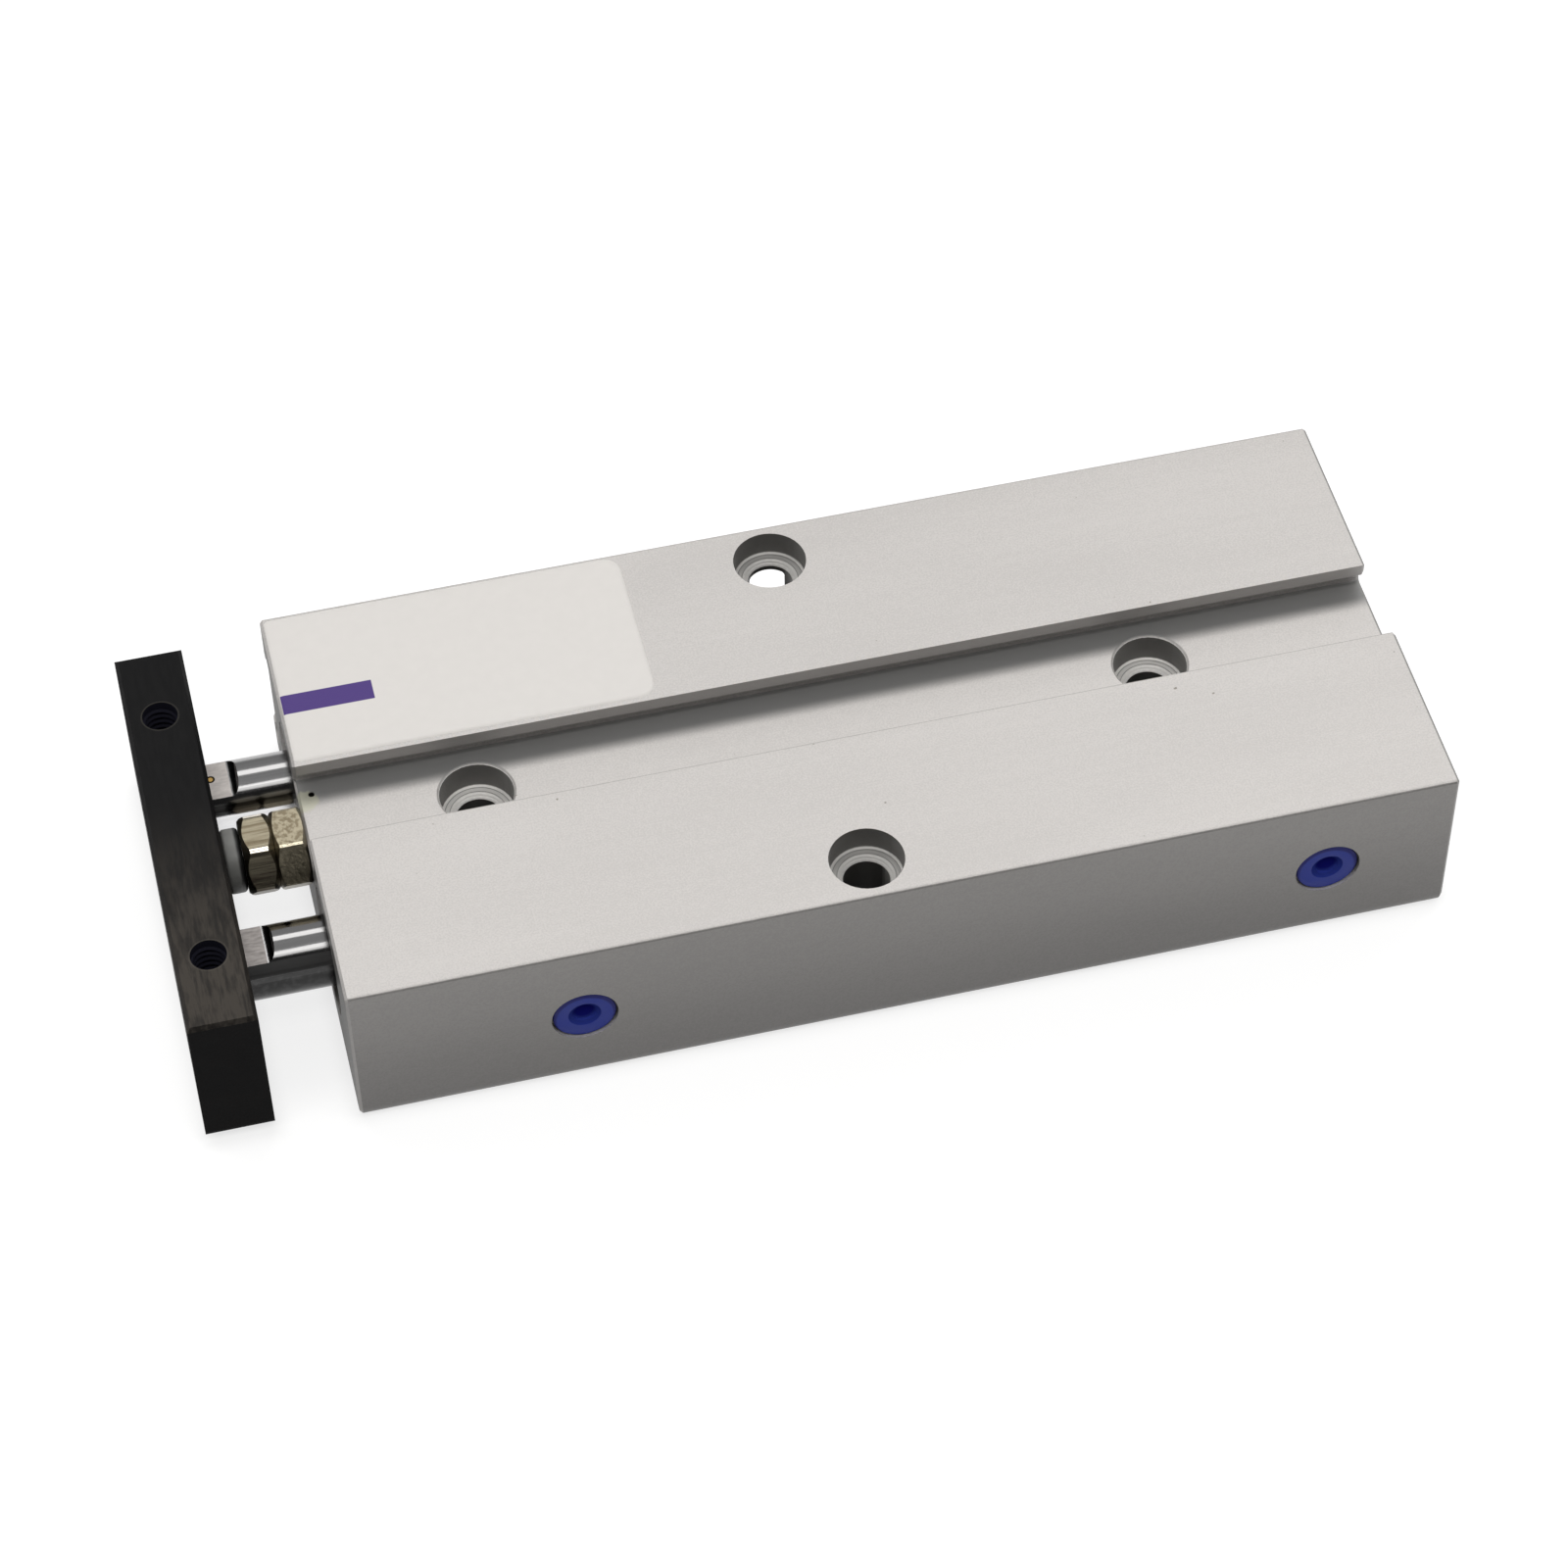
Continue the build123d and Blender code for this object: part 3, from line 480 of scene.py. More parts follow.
@dataclass(frozen=True)
class ChannelMarks:
    """What marks the sensor channel: painted shade on the far lip's face, a painted shadow of that lip on
    the floor, an oil mark, and a small hole darkened as painted shade.

    Attributes:
        lip_y: Y of the far lip.
        lip_reach: Distances from the lip over which its colour fades.
        lip_facing: Y of the normal over which the lip's edge ends.
        lip_shade_share: Share of the colour on that edge, darkened as painted shade.
        floor: Height of the channel's floor.
        floor_reach: Distances from the floor over which the painted shadow fades.
        lip_shadow_reach: Y over which the painted shadow comes in.
        lip_shadow_end: Y over which it ends.
        lip_shadow_colour: Colour of the painted shadow.
        stain_place: X and Y of the oil mark.
        stain_reach: Distances from there over which the mark fades.
        stain_strength: Strength of the mark.
        stain_edge: Noise that makes its edge ragged.
        stain_ragged: How ragged the edge is.
        stain_top: Heights over which the mark ends.
        stain_colour: Colour of the mark.
        hole_place: X and Y of the small hole.
        hole_radius: Radius of the hole, with its rim.
        hole_top: Heights over which the hole's colour ends.
        hole_shade_colour: Colour in the hole, near black as painted shade.
    """

    lip_y: float = 4.35
    lip_reach: Reach = (0.1, 0.2)
    lip_facing: Reach = (-0.9, -0.6)
    lip_shade_share: float = 0.72
    floor: float = 14.9
    floor_reach: Reach = (0.05, 0.1)
    lip_shadow_reach: Reach = (1.5, 3.4)
    lip_shadow_end: Reach = (6.0, 6.2)
    lip_shadow_colour: Colour = (0.3, 0.3, 0.298)
    stain_place: Spot = (-47.4, 2.7)
    stain_reach: Reach = (1.4, 1.8)
    stain_strength: float = 0.75
    stain_edge: Pattern = Pattern(1.4, 3.0, offset=21.0)
    stain_ragged: float = 0.9
    stain_top: Reach = (15.2, 15.6)
    stain_colour: Colour = (0.55, 0.55, 0.43)
    hole_place: Spot = (-46.7, 3.4)
    hole_radius: float = 0.32
    hole_top: Reach = (14.75, 14.85)
    hole_shade_colour: Colour = (0.01, 0.01, 0.01)

    def lip(self, board: Board) -> Socket:
        """Mask of the far lip's face, where shade is painted."""
        near_lip = board.fade(board.apart(board.at[1], self.lip_y), *self.lip_reach)
        return board.times(board.fade(board.facing[1], *self.lip_facing), near_lip)

    def lip_shadow(self, board: Board) -> Socket:
        """Mask of the painted shadow that the far lip casts on the floor.

        Args:
            board: Board to build on.

        Returns:
            The mask.
        """
        _, y, z = board.at
        on_floor = board.fade(board.apart(z, self.floor), *self.floor_reach)
        strip = board.times(board.range(y, *self.lip_shadow_reach), board.fade(y, *self.lip_shadow_end))
        return board.times(strip, on_floor)

    def stain(self, board: Board) -> Socket:
        """Mask of the ragged oil mark around the small hole.

        Args:
            board: Board to build on.

        Returns:
            The mask.
        """
        distance = board.from_axis((*self.stain_place, 0.0))
        ragged = board.math("ADD", distance, board.times(board.noise(self.stain_edge), self.stain_ragged))
        mark = board.range(ragged, *self.stain_reach, self.stain_strength, 0.0)
        return board.times(mark, board.fade(board.at[2], *self.stain_top))

    def paint(self, board: Board, skin: Socket, colour: Colour) -> Socket:
        """Colour the channel's painted shade and shadow, its oil mark and its small hole.

        Args:
            board: Board to build on.
            skin: Colour around them.
            colour: Plain colour of the body.

        Returns:
            The colour with the marks in it.
        """
        # Painted shade on the far lip's face, and the lip's painted shadow on the floor.
        skin = board.mix(self.lip(board), skin, share_of(colour, self.lip_shade_share))
        skin = board.mix(self.lip_shadow(board), skin, self.lip_shadow_colour)
        skin = board.mix(self.stain(board), skin, self.stain_colour)
        # Painted shade: the small hole is coloured near black.
        hole = board.inside(self.hole_place, self.hole_radius)
        return board.mix(board.times(hole, board.fade(board.at[2], *self.hole_top)), skin, self.hole_shade_colour)


@dataclass(frozen=True)
class BlastedAluminium(Finish):
    """Extruded aluminium, bead blasted and clear anodised after its holes were machined.

    Attributes:
        holes: Painted light and shade of the turned holes.
        channel: Painted shade and marks of the sensor channel.
        grain: Fine blasted grain.
        coarse: Coarser grain.
        drawn: Lines along the extrusion.
        cloud: Slow change over the whole skin.
        weights: Weights of these four.
        mottle_reach: Values of the sum that give the darkest and the lightest skin.
        mottle_shares: Shares of the colour there.
        specks: Noise whose peaks are dark specks.
        speck_reach: Values over which a speck comes in.
        speck_colour: Colour of the specks.
        rear_shade_line: X over which the painted shade line along the rear end comes in.
        lip_shade_line: Y over which the painted shade line along the channel's near lip comes in, and over
            which it ends.
        lip_shade_line_share: Strength of that line beside the rear one.
        edge_shade_strength: Strength of both painted shade lines.
        edge_shade_colour: Colour of both painted shade lines.
        side_shade_shares: Share of the colour on the outer sides, at their foot and at their top; painted
            shade darkens the sides, most at the foot.
        side_height: Height of the outer sides.
        side_facing: Sideways part of the normal over which the sides begin.
        side_reach: Distances from the middle over which they begin.
        paler_reach: X over which the skin gets paler.
        paler_share: Share of its colour at the rear.
        end_facing: Lengthwise part of the normal over which the end faces begin.
        shaded_end_colour: Colour of the milled end faces, darkened as painted shade.
        milling: Noise of the milling marks.
        milling_share: Share of the colour in the dark marks.
        gloss: Strength of the skin's own reflection, and of the end faces'.
        hole_metal: How much of the holes is bare metal.
        rough_reach: Values of the grain that are smoothest and roughest.
        rough_change: Change of roughness there.
        drawn_depth: Depth of the lines.
        grain_depth: Depth of the grain.
        ring_depth: Depth of the turned rings in the holes.
        ring_pitch: Distance from ring to ring.
    """

    holes: CounterboreLightAndShade = CounterboreLightAndShade()
    channel: ChannelMarks = ChannelMarks()
    grain: Pattern = Pattern(5.5)
    coarse: Pattern = Pattern(1.5, 3.0, offset=17.0)
    drawn: Pattern = Pattern(1.0, 3.0, (0.04, 1.2, 1.2), 11.0)
    cloud: Pattern = Pattern(0.08, 3.0, (0.4, 1.4, 1.4), 5.0)
    weights: tuple[float, ...] = (0.62, 0.14, 0.06, 0.18)
    mottle_reach: Reach = (0.38, 0.62)
    mottle_shares: tuple[float, float] = (0.92, 1.06)
    specks: Pattern = Pattern(1.3, 1.0, offset=31.0)
    speck_reach: Reach = (0.81, 0.84)
    speck_colour: Colour = (0.27, 0.25, 0.22)
    rear_shade_line: Reach = (53.94, 54.06)
    lip_shade_line: tuple[Reach, Reach] = ((-4.45, -4.37), (-4.33, -4.29))
    lip_shade_line_share: float = 0.6
    edge_shade_strength: float = 0.85
    edge_shade_colour: Colour = (0.12, 0.115, 0.105)
    side_shade_shares: tuple[float, float] = (0.34, 0.5)
    side_height: float = 18.0
    side_facing: Reach = (0.3, 0.95)
    side_reach: Reach = (19.2, 19.4)
    paler_reach: Reach = (5.0, 54.0)
    paler_share: float = 1.03
    end_facing: Reach = (0.8, 0.95)
    shaded_end_colour: Colour = (0.26, 0.255, 0.245)
    milling: Pattern = Pattern(1.0, 4.0, (1.0, 0.1, 3.0), 3.0)
    milling_share: float = 0.75
    gloss: tuple[float, float] = (0.5, 0.05)
    hole_metal: float = 0.15
    rough_reach: Reach = (0.3, 0.7)
    rough_change: tuple[float, float] = (-0.04, 0.06)
    drawn_depth: float = 0.003
    grain_depth: float = 0.008
    ring_depth: float = 0.008
    ring_pitch: float = 0.22

    def detail(self, board: Board) -> None:
        """Add the skin, the holes, the end faces, the gloss and the relief.

        Args:
            board: Board to build on.
        """
        grain, drawn = board.noise(self.grain), board.noise(self.drawn)
        inside = self.holes.inside(board)
        ends = board.range(board.math("ABSOLUTE", board.facing[0]), *self.end_facing)
        skin = self.holes.paint(board, self.skin(board, grain, drawn))
        # Painted shade: the milled end faces are coloured much darker than the skin.
        milled = board.mix(
            board.noise(self.milling), share_of(self.shaded_end_colour, self.milling_share), self.shaded_end_colour
        )
        board.set("Base Color", board.mix(ends, skin, milled))
        bare = board.math("SUBTRACT", self.metallic, board.times(inside, self.metallic - self.hole_metal))
        board.set("Metallic", board.times(bare, board.rest(ends)))
        board.set("Specular IOR Level", board.range(ends, 0.0, 1.0, *self.gloss))
        smoothest, roughest = (self.roughness + change for change in self.rough_change)
        board.set("Roughness", board.range(grain, *self.rough_reach, smoothest, roughest))
        wave = board.math("SINE", board.times(self.holes.nearest_axis(board), math.tau / self.ring_pitch))
        relief = board.bump(grain, self.grain_depth, below=board.bump(drawn, self.drawn_depth))
        board.set("Normal", board.bump(board.times(wave, inside), self.ring_depth, below=relief))

    def skin(self, board: Board, grain: Socket, drawn: Socket) -> Socket:
        """Colour the skin, its sides and the channel.

        Args:
            board: Board to build on.
            grain: Fine blasted grain.
            drawn: Lines along the extrusion.

        Returns:
            The colour.
        """
        noises = (grain, board.noise(self.coarse), drawn, board.noise(self.cloud))
        total = board.fold("ADD", [board.times(*pair) for pair in zip(noises, self.weights)])
        mottle = board.range(total, *self.mottle_reach)
        darkest, lightest = self.mottle_shares
        skin = self.tone(board, mottle, darkest, lightest)
        specks = board.range(board.noise(self.specks), *self.speck_reach)
        skin = board.mix(specks, skin, self.speck_colour)
        # Painted shade: thin dark lines along the rear end's edge and the channel's near lip.
        skin = board.mix(self.edge_shade_lines(board), skin, self.edge_shade_colour)
        # Painted shade: the outer sides are darker than the top, darkest at their foot.
        foot, head = (
            self.tone(board, mottle, share * darkest, share * lightest) for share in self.side_shade_shares
        )
        x, y, z = board.at
        beside = board.range(board.math("ABSOLUTE", board.facing[1]), *self.side_facing)
        outer = board.range(board.math("ABSOLUTE", y), *self.side_reach)
        side = board.mix(board.range(z, 0.0, self.side_height), foot, head)
        skin = board.mix(board.times(beside, outer), skin, side)
        skin = board.scaled(skin, board.range(x, *self.paler_reach, 1.0, self.paler_share))
        return self.channel.paint(board, skin, self.colour)

    def edge_shade_lines(self, board: Board) -> Socket:
        """Mask of the thin painted shade lines along the rear end and the channel's near lip.

        Args:
            board: Board to build on.

        Returns:
            The mask.
        """
        x, y, _ = board.at
        start, end = self.lip_shade_line
        lip = board.times(board.range(y, *start), board.fade(y, *end), self.lip_shade_line_share)
        return board.times(board.math("MAXIMUM", board.range(x, *self.rear_shade_line), lip), self.edge_shade_strength)


@dataclass(frozen=True)
class BlackAnodised(Finish):
    """Black anodised aluminium, ground along its length; its top is rubbed brown towards its near end, with
    a painted sheen there too.

    Attributes:
        lines: Grinding lines.
        cloud: Patches of the rubbed part.
        patch_weights: Weights of these two.
        patch_reach: Values of their sum that are least and most rubbed.
        patch_shares: How rubbed those are.
        rub_and_sheen_y: Y over which the rubbed part and its painted sheen fade, from full to none.
        rub_and_sheen_facing: Upward parts of the normal over which it comes in, so that the painted sheen
            lies on the top.
        rub_and_sheen_least: How rubbed the upright sides are.
        rub_and_sheen_colour: Colour of the rubbed part with its painted sheen.
        chips: Noise whose peaks are small chips.
        chip_reach: Values over which a chip comes in.
        chip_strength: Strength of the chips.
        bare_colour: Colour of the chips, and of the painted highlights round the holes' edges.
        holes: X and Y of the tapped holes in the upper edge.
        rim_highlight_radius: Radius of the painted highlights round the holes' edges.
        rim_highlight_strength: Strength of those painted highlights.
        hole_radius: Radius of the holes.
        hole_top: Heights over which their colour ends.
        hole_shade_colour: Colour in the holes, a dim painted shade.
        rough_reach: Values of the lines that are smoothest and roughest.
        rough_ends: Roughness there.
        line_depth: Depth of the lines.
        gloss_facing: Upward parts of the normal from the least to the most gloss.
        gloss: Least and most gloss.
    """

    lines: Pattern = Pattern(1.0, 5.0, (3.2, 0.5, 3.2))
    cloud: Pattern = Pattern(0.5, 4.0, (1.0, 0.5, 1.0), 4.0)
    patch_weights: tuple[float, float] = (0.55, 0.45)
    patch_reach: Reach = (0.36, 0.62)
    patch_shares: tuple[float, float] = (0.35, 1.15)
    rub_and_sheen_y: Reach = (-19.0, 6.0)
    rub_and_sheen_facing: Reach = (0.5, 0.9)
    rub_and_sheen_least: float = 0.06
    rub_and_sheen_colour: Colour = (0.062, 0.054, 0.046)
    chips: Pattern = Pattern(1.2, 6.0, offset=9.0)
    chip_reach: Reach = (0.78, 0.81)
    chip_strength: float = 0.7
    bare_colour: Colour = (0.2, 0.185, 0.16)
    holes: tuple[Spot, ...] = ((-58.75, 14.3), (-58.75, -14.3))
    rim_highlight_radius: float = 1.79
    rim_highlight_strength: float = 0.12
    hole_radius: float = 1.66
    hole_top: Reach = (16.9, 16.97)
    hole_shade_colour: Colour = (0.02, 0.02, 0.032)
    rough_reach: Reach = (0.3, 0.7)
    rough_ends: tuple[float, float] = (0.36, 0.5)
    line_depth: float = 0.012
    gloss_facing: Reach = (0.3, 0.8)
    gloss: tuple[float, float] = (0.03, 0.11)

    def detail(self, board: Board) -> None:
        """Add the grinding lines, the rubbed bloom with its painted sheen, chips, and the holes with painted
        shade in them and painted highlights round their edges.

        Args:
            board: Board to build on.
        """
        lines = board.noise(self.lines)
        _, y, z = board.at
        up = board.facing[2]
        noises = (lines, board.noise(self.cloud))
        patches = board.fold("ADD", [board.times(*pair) for pair in zip(noises, self.patch_weights)])
        # Rubbed patches with a painted sheen on the top, towards the near end.
        patchy = board.range(patches, *self.patch_reach, *self.patch_shares)
        on_top = board.range(up, *self.rub_and_sheen_facing, self.rub_and_sheen_least, 1.0)
        rubbed = board.math("MULTIPLY", board.times(patchy, board.fade(y, *self.rub_and_sheen_y)), on_top, clamp=True)
        skin = board.mix(rubbed, self.colour, self.rub_and_sheen_colour)
        chips = board.range(board.noise(self.chips), *self.chip_reach)
        skin = board.mix(board.times(chips, self.chip_strength), skin, self.bare_colour)
        # Painted highlights round the holes' edges, and painted shade in the holes.
        rim_highlights = board.fold("MAXIMUM", [board.inside(hole, self.rim_highlight_radius) for hole in self.holes])
        skin = board.mix(board.times(rim_highlights, up, self.rim_highlight_strength), skin, self.bare_colour)
        holes = board.fold("MAXIMUM", [board.inside(hole, self.hole_radius) for hole in self.holes])
        skin = board.mix(board.times(holes, board.fade(z, *self.hole_top)), skin, self.hole_shade_colour)
        board.set("Base Color", skin)
        board.set("Roughness", board.range(lines, *self.rough_reach, *self.rough_ends))
        board.set("Normal", board.bump(lines, self.line_depth))
        board.set("Specular IOR Level", board.range(up, *self.gloss_facing, *self.gloss))


@dataclass(frozen=True)
class Drawn(Finish):
    """Metal with fine marks along or around one axis.

    Attributes:
        stretch: Factors that draw the marks out; the smallest is along them.
        octaves: Octaves of finer marks.
        depth: Depth of the marks in millimetres.
        darkest: Share of the colour in the dark marks.
        lightest: Share of the colour in the light ones.
        rough_reach: Values of the marks that are smoothest and roughest.
        spread: Change of roughness over the marks.
    """

    stretch: Triple = (0.05, 3.0, 3.0)
    octaves: float = 4.0
    depth: float = 0.004
    darkest: float = 0.8
    lightest: float = 1.1
    rough_reach: Reach = (0.3, 0.7)
    spread: float = 0.06

    def detail(self, board: Board) -> None:
        """Add the marks to colour, gloss and relief.

        Args:
            board: Board to build on.
        """
        marks = board.noise(Pattern(1.0, self.octaves, self.stretch))
        board.set("Base Color", self.tone(board, marks, self.darkest, self.lightest))
        roughness = (self.roughness - self.spread, self.roughness + self.spread)
        board.set("Roughness", board.range(marks, *self.rough_reach, *roughness))
        board.set("Normal", board.bump(marks, self.depth))


@dataclass(frozen=True)
class Chrome(Drawn):
    """Polished chrome with two milled wrench flats on each rod; near the plate, painted shade mottled by
    stains darkens the near rod's underside, and a painted reflection lightens the far rod's.

    Attributes:
        flat_end: X over which the flats end.
        flat_facing: Upward or downward part of the normal over which the flats begin.
        flat_reach: Distances from the rods' height over which they begin.
        flat_colour: Colour of the flats.
        flat_roughness: Roughness of the flats.
        cuts: Noise of the milling marks on the flats.
        cut_shares: Shares of the colour in the dark marks and in the light ones.
        far_colour: Colour that pales the far rod's flats.
        far_strength: How much they are paled.
        height: Height of the rods.
        far_reach: Y between the near rod and the far one.
        stains: Noise of the stains.
        stain_reach: Values over which a stain comes in.
        stain_shares: Shares of the colour outside and inside the stains.
        under_facing: Upward parts of the normal over which the underside ends.
        painted_underside_shares: Shares of the colour on the near rod's underside, darkened as painted
            shade, and on the far rod's, lightened as a painted reflection.
        oily_facing: Y of the normal over which the near rod's less metallic side ends.
        oily_metal: How metallic that side is.
        front_shade_facing: Y of the normal over which the side turned to the front ends; that side is
            darkened as painted shade.
        front_share: Share of the colour there, as painted shade.
        handled_x: X over which the handled end of the rods ends.
        spot_place: X and Y of a punch mark on the far rod's flat.
        spot_radii: Radii of its dark ring and of its brassy middle.
        ring_colour: Colour of the ring.
        spot_colour: Colour of the middle.
    """

    flat_end: Reach = (-53.65, -53.61)
    flat_facing: Reach = (0.985, 0.995)
    flat_reach: Reach = (2.56, 2.6)
    flat_colour: Colour = (0.35, 0.326, 0.315)
    flat_roughness: float = 0.5
    cuts: Pattern = Pattern(1.3, 4.0, (0.9, 2.6, 1.0), 2.0)
    cut_shares: tuple[float, float] = (0.4, 1.6)
    far_colour: Colour = (0.8, 0.76, 0.73)
    far_strength: float = 0.35
    height: float = 9.0
    far_reach: Reach = (-0.5, 0.5)
    stains: Pattern = Pattern(1.6, 4.0, offset=12.0)
    stain_reach: Reach = (0.45, 0.62)
    stain_shares: tuple[float, float] = (0.9, 1.5)
    under_facing: Reach = (0.3, 0.58)
    painted_underside_shares: tuple[float, float] = (0.1, 2.85)
    oily_facing: Reach = (-0.68, -0.6)
    oily_metal: float = 0.66
    front_shade_facing: Reach = (-0.55, -0.4)
    front_share: float = 0.62
    handled_x: Reach = (-47.5, -44.5)
    spot_place: Spot = (-55.3, 10.3)
    spot_radii: tuple[float, float] = (0.42, 0.24)
    ring_colour: Colour = (0.02, 0.015, 0.01)
    spot_colour: Colour = (0.55, 0.36, 0.12)

    def detail(self, board: Board) -> None:
        """Add the polish, painted shade and reflection on the rods' undersides near the plate, painted shade
        on the side turned to the front, and the milled flats.

        Args:
            board: Board to build on.
        """
        super().detail(board)
        x, y, z = board.at
        _, across, up = board.facing
        level = board.range(board.math("ABSOLUTE", up), *self.flat_facing)
        low = board.fade(board.apart(z, self.height), *self.flat_reach)
        flats = board.times(level, board.fade(x, *self.flat_end), low)
        far = board.range(y, *self.far_reach)
        handled = board.fade(x, *self.handled_x)
        polished = board.current("Base Color")
        # Painted shade on the near rod's underside, mottled by stains, and a painted reflection on the far
        # rod's, at the end near the plate.
        near_share, far_share = self.painted_underside_shares
        stains = board.range(board.noise(self.stains), *self.stain_reach, *self.stain_shares)
        near_underside_shade = board.times(stains, near_share, board.rest(far))
        share = board.math("ADD", near_underside_shade, board.times(far, far_share))
        change = board.times(board.math("SUBTRACT", share, 1.0), handled)
        under = board.scaled(polished, board.math("ADD", change, 1.0))
        # Painted shade on the side turned to the front.
        upper = board.scaled(polished, board.range(across, *self.front_shade_facing, self.front_share, 1.0))
        rod = board.mix(board.fade(up, *self.under_facing), upper, under)
        board.set("Base Color", board.mix(flats, rod, self.milled(board, far)))
        oiled = board.times(board.fade(across, *self.oily_facing), board.rest(far), handled)
        board.set("Metallic", board.range(oiled, 0.0, 1.0, self.metallic, self.oily_metal))
        duller = board.times(flats, self.flat_roughness - self.roughness)
        board.set("Roughness", board.math("ADD", board.current("Roughness"), duller))

    def milled(self, board: Board, far: Socket) -> Socket:
        """Colour the flats, with the punch mark on the far one.

        Args:
            board: Board to build on.
            far: Mask of the far rod.

        Returns:
            The colour.
        """
        dark, light = (share_of(self.flat_colour, share) for share in self.cut_shares)
        milled = board.mix(board.noise(self.cuts), dark, light)
        milled = board.mix(board.times(far, self.far_strength), milled, self.far_colour)
        for radius, colour in zip(self.spot_radii, (self.ring_colour, self.spot_colour)):
            milled = board.mix(board.inside(self.spot_place, radius), milled, colour)
        return milled


@dataclass(frozen=True)
class PlatedNuts(Finish):
    """Yellow zinc plate over drawn hexagon bar, streaked on the front nut and spotted on the rear one.

    Attributes:
        parting_x: X over which the front nut ends.
        streaks: Noise of the front nut's streaks.
        spots: Noise of the rear nut's spots.
        dark_reach: Values of the noise over which the dark fades.
        dark_strength: Strength of the dark.
        dark_colour: Colour in the streaks and spots.
        front_share: Share of the colour on the front nut.
        low_shade_facing: Upward parts of the normal over which the lower facets, darkened as painted shade,
            end.
        low_shade_shares: Shares of the colour in that painted shade, of the front nut and of the rear one.
        brown_colour: Colour of the streaks on the front nut's lower facets.
        glint_start: Upward parts of the normal over which the painted glint on the worn strip beside the
            corners comes in.
        glint_end: The same where it ends.
        glint_colours: Colours of that painted glint, of the front nut and of the rear one.
        glint_roughness: Roughness there.
        rough_reach: Values of the noise that are roughest and smoothest.
        rough_change: Change of roughness where it is roughest.
        lines: Fine lines of the drawn bar.
        line_depth: Depth of the lines.
        wear_depth: Depth of the streaks and spots.
    """

    parting_x: Reach = (-50.955, -50.935)
    streaks: Pattern = Pattern(1.0, 2.0, (0.12, 2.6, 2.6))
    spots: Pattern = Pattern(2.2, 3.0, offset=8.0)
    dark_reach: Reach = (0.38, 0.56)
    dark_strength: float = 0.6
    dark_colour: Colour = (0.13, 0.1, 0.06)
    front_share: float = 0.84
    low_shade_facing: Reach = (0.45, 0.75)
    low_shade_shares: tuple[float, float] = (0.5, 0.75)
    brown_colour: Colour = (0.06, 0.042, 0.034)
    glint_start: Reach = (0.78, 0.83)
    glint_end: Reach = (0.94, 0.97)
    glint_colours: tuple[Colour, Colour] = ((0.72, 0.67, 0.58), (0.4, 0.365, 0.28))
    glint_roughness: float = 0.16
    rough_reach: Reach = (0.3, 0.7)
    rough_change: float = 0.1
    lines: Pattern = Pattern(1.0, 2.0, (0.2, 6.0, 6.0), 3.0)
    line_depth: float = 0.01
    wear_depth: float = 0.05

    def detail(self, board: Board) -> None:
        """Add streaks, spots, painted shade on the lower facets, a painted glint on the worn strip beside
        the corners, and the fine lines.

        Args:
            board: Board to build on.
        """
        rear = board.range(board.at[0], *self.parting_x)
        up = board.facing[2]
        streaks, spots = board.noise(self.streaks), board.noise(self.spots)
        wear = board.math("ADD", board.times(rear, spots), board.times(board.rest(rear), streaks))
        dark = board.range(wear, *self.dark_reach, self.dark_strength, 0.0)
        clean = board.mix(rear, share_of(self.colour, self.front_share), self.colour)
        # Painted shade: the lower facets are darker, with brown streaks on the front nut.
        front_low, rear_low = (share_of(self.colour, share) for share in self.low_shade_shares)
        shaded_low_facets = board.mix(rear, board.mix(dark, front_low, self.brown_colour), rear_low)
        skin = board.mix(dark, clean, self.dark_colour)
        skin = board.mix(board.fade(up, *self.low_shade_facing), skin, shaded_low_facets)
        # Painted glint on the worn strip beside the corners.
        rubbed = board.times(board.range(up, *self.glint_start), board.fade(up, *self.glint_end))
        board.set("Base Color", board.mix(rubbed, skin, board.mix(rear, *self.glint_colours)))
        rough = board.range(wear, *self.rough_reach, self.roughness + self.rough_change, self.roughness)
        smoother = board.times(rubbed, self.glint_roughness - self.roughness)
        board.set("Roughness", board.math("ADD", rough, smoother))
        relief = board.bump(wear, self.wear_depth)
        board.set("Normal", board.bump(board.noise(self.lines), self.line_depth, below=relief))


@dataclass(frozen=True)
class Moulded(Finish):
    """Moulded plastic or rubber with a faint orange peel.

    Attributes:
        peel: Noise of the peel.
        peel_depth: Depth of the peel in millimetres.
        dust: Noise of the dust.
        dust_shares: Shares of the colour without and with dust.
        rough_reach: Values of the dust that are smoothest and roughest.
        rough_change: Change of roughness there.
        glow: Share of light that passes under the skin.
        glow_reach: How far red, green and blue light go there.
        gloss: Strength of the surface's own reflection.
    """

    peel: Pattern = Pattern(2.0, 3.0)
    peel_depth: float = 0.01
    dust: Pattern = Pattern(0.5, 4.0, offset=7.0)
    dust_shares: tuple[float, float] = (0.88, 1.1)
    rough_reach: Reach = (0.3, 0.7)
    rough_change: tuple[float, float] = (-0.05, 0.08)
    glow: float = 0.0
    glow_reach: Triple = (0.6, 0.6, 0.8)
    gloss: float = 0.5

    def detail(self, board: Board) -> None:
        """Add the peel, a little dust and light under the skin.

        Args:
            board: Board to build on.
        """
        dust = board.noise(self.dust)
        board.set("Base Color", self.tone(board, dust, *self.dust_shares))
        smoothest, roughest = (self.roughness + change for change in self.rough_change)
        board.set("Roughness", board.range(dust, *self.rough_reach, smoothest, roughest))
        board.set("Normal", board.bump(board.noise(self.peel), self.peel_depth))
        board.set("Specular IOR Level", self.gloss)
        if self.glow:
            board.set("Subsurface Weight", self.glow)
            board.set("Subsurface Radius", tuple(reach * MM for reach in self.glow_reach))


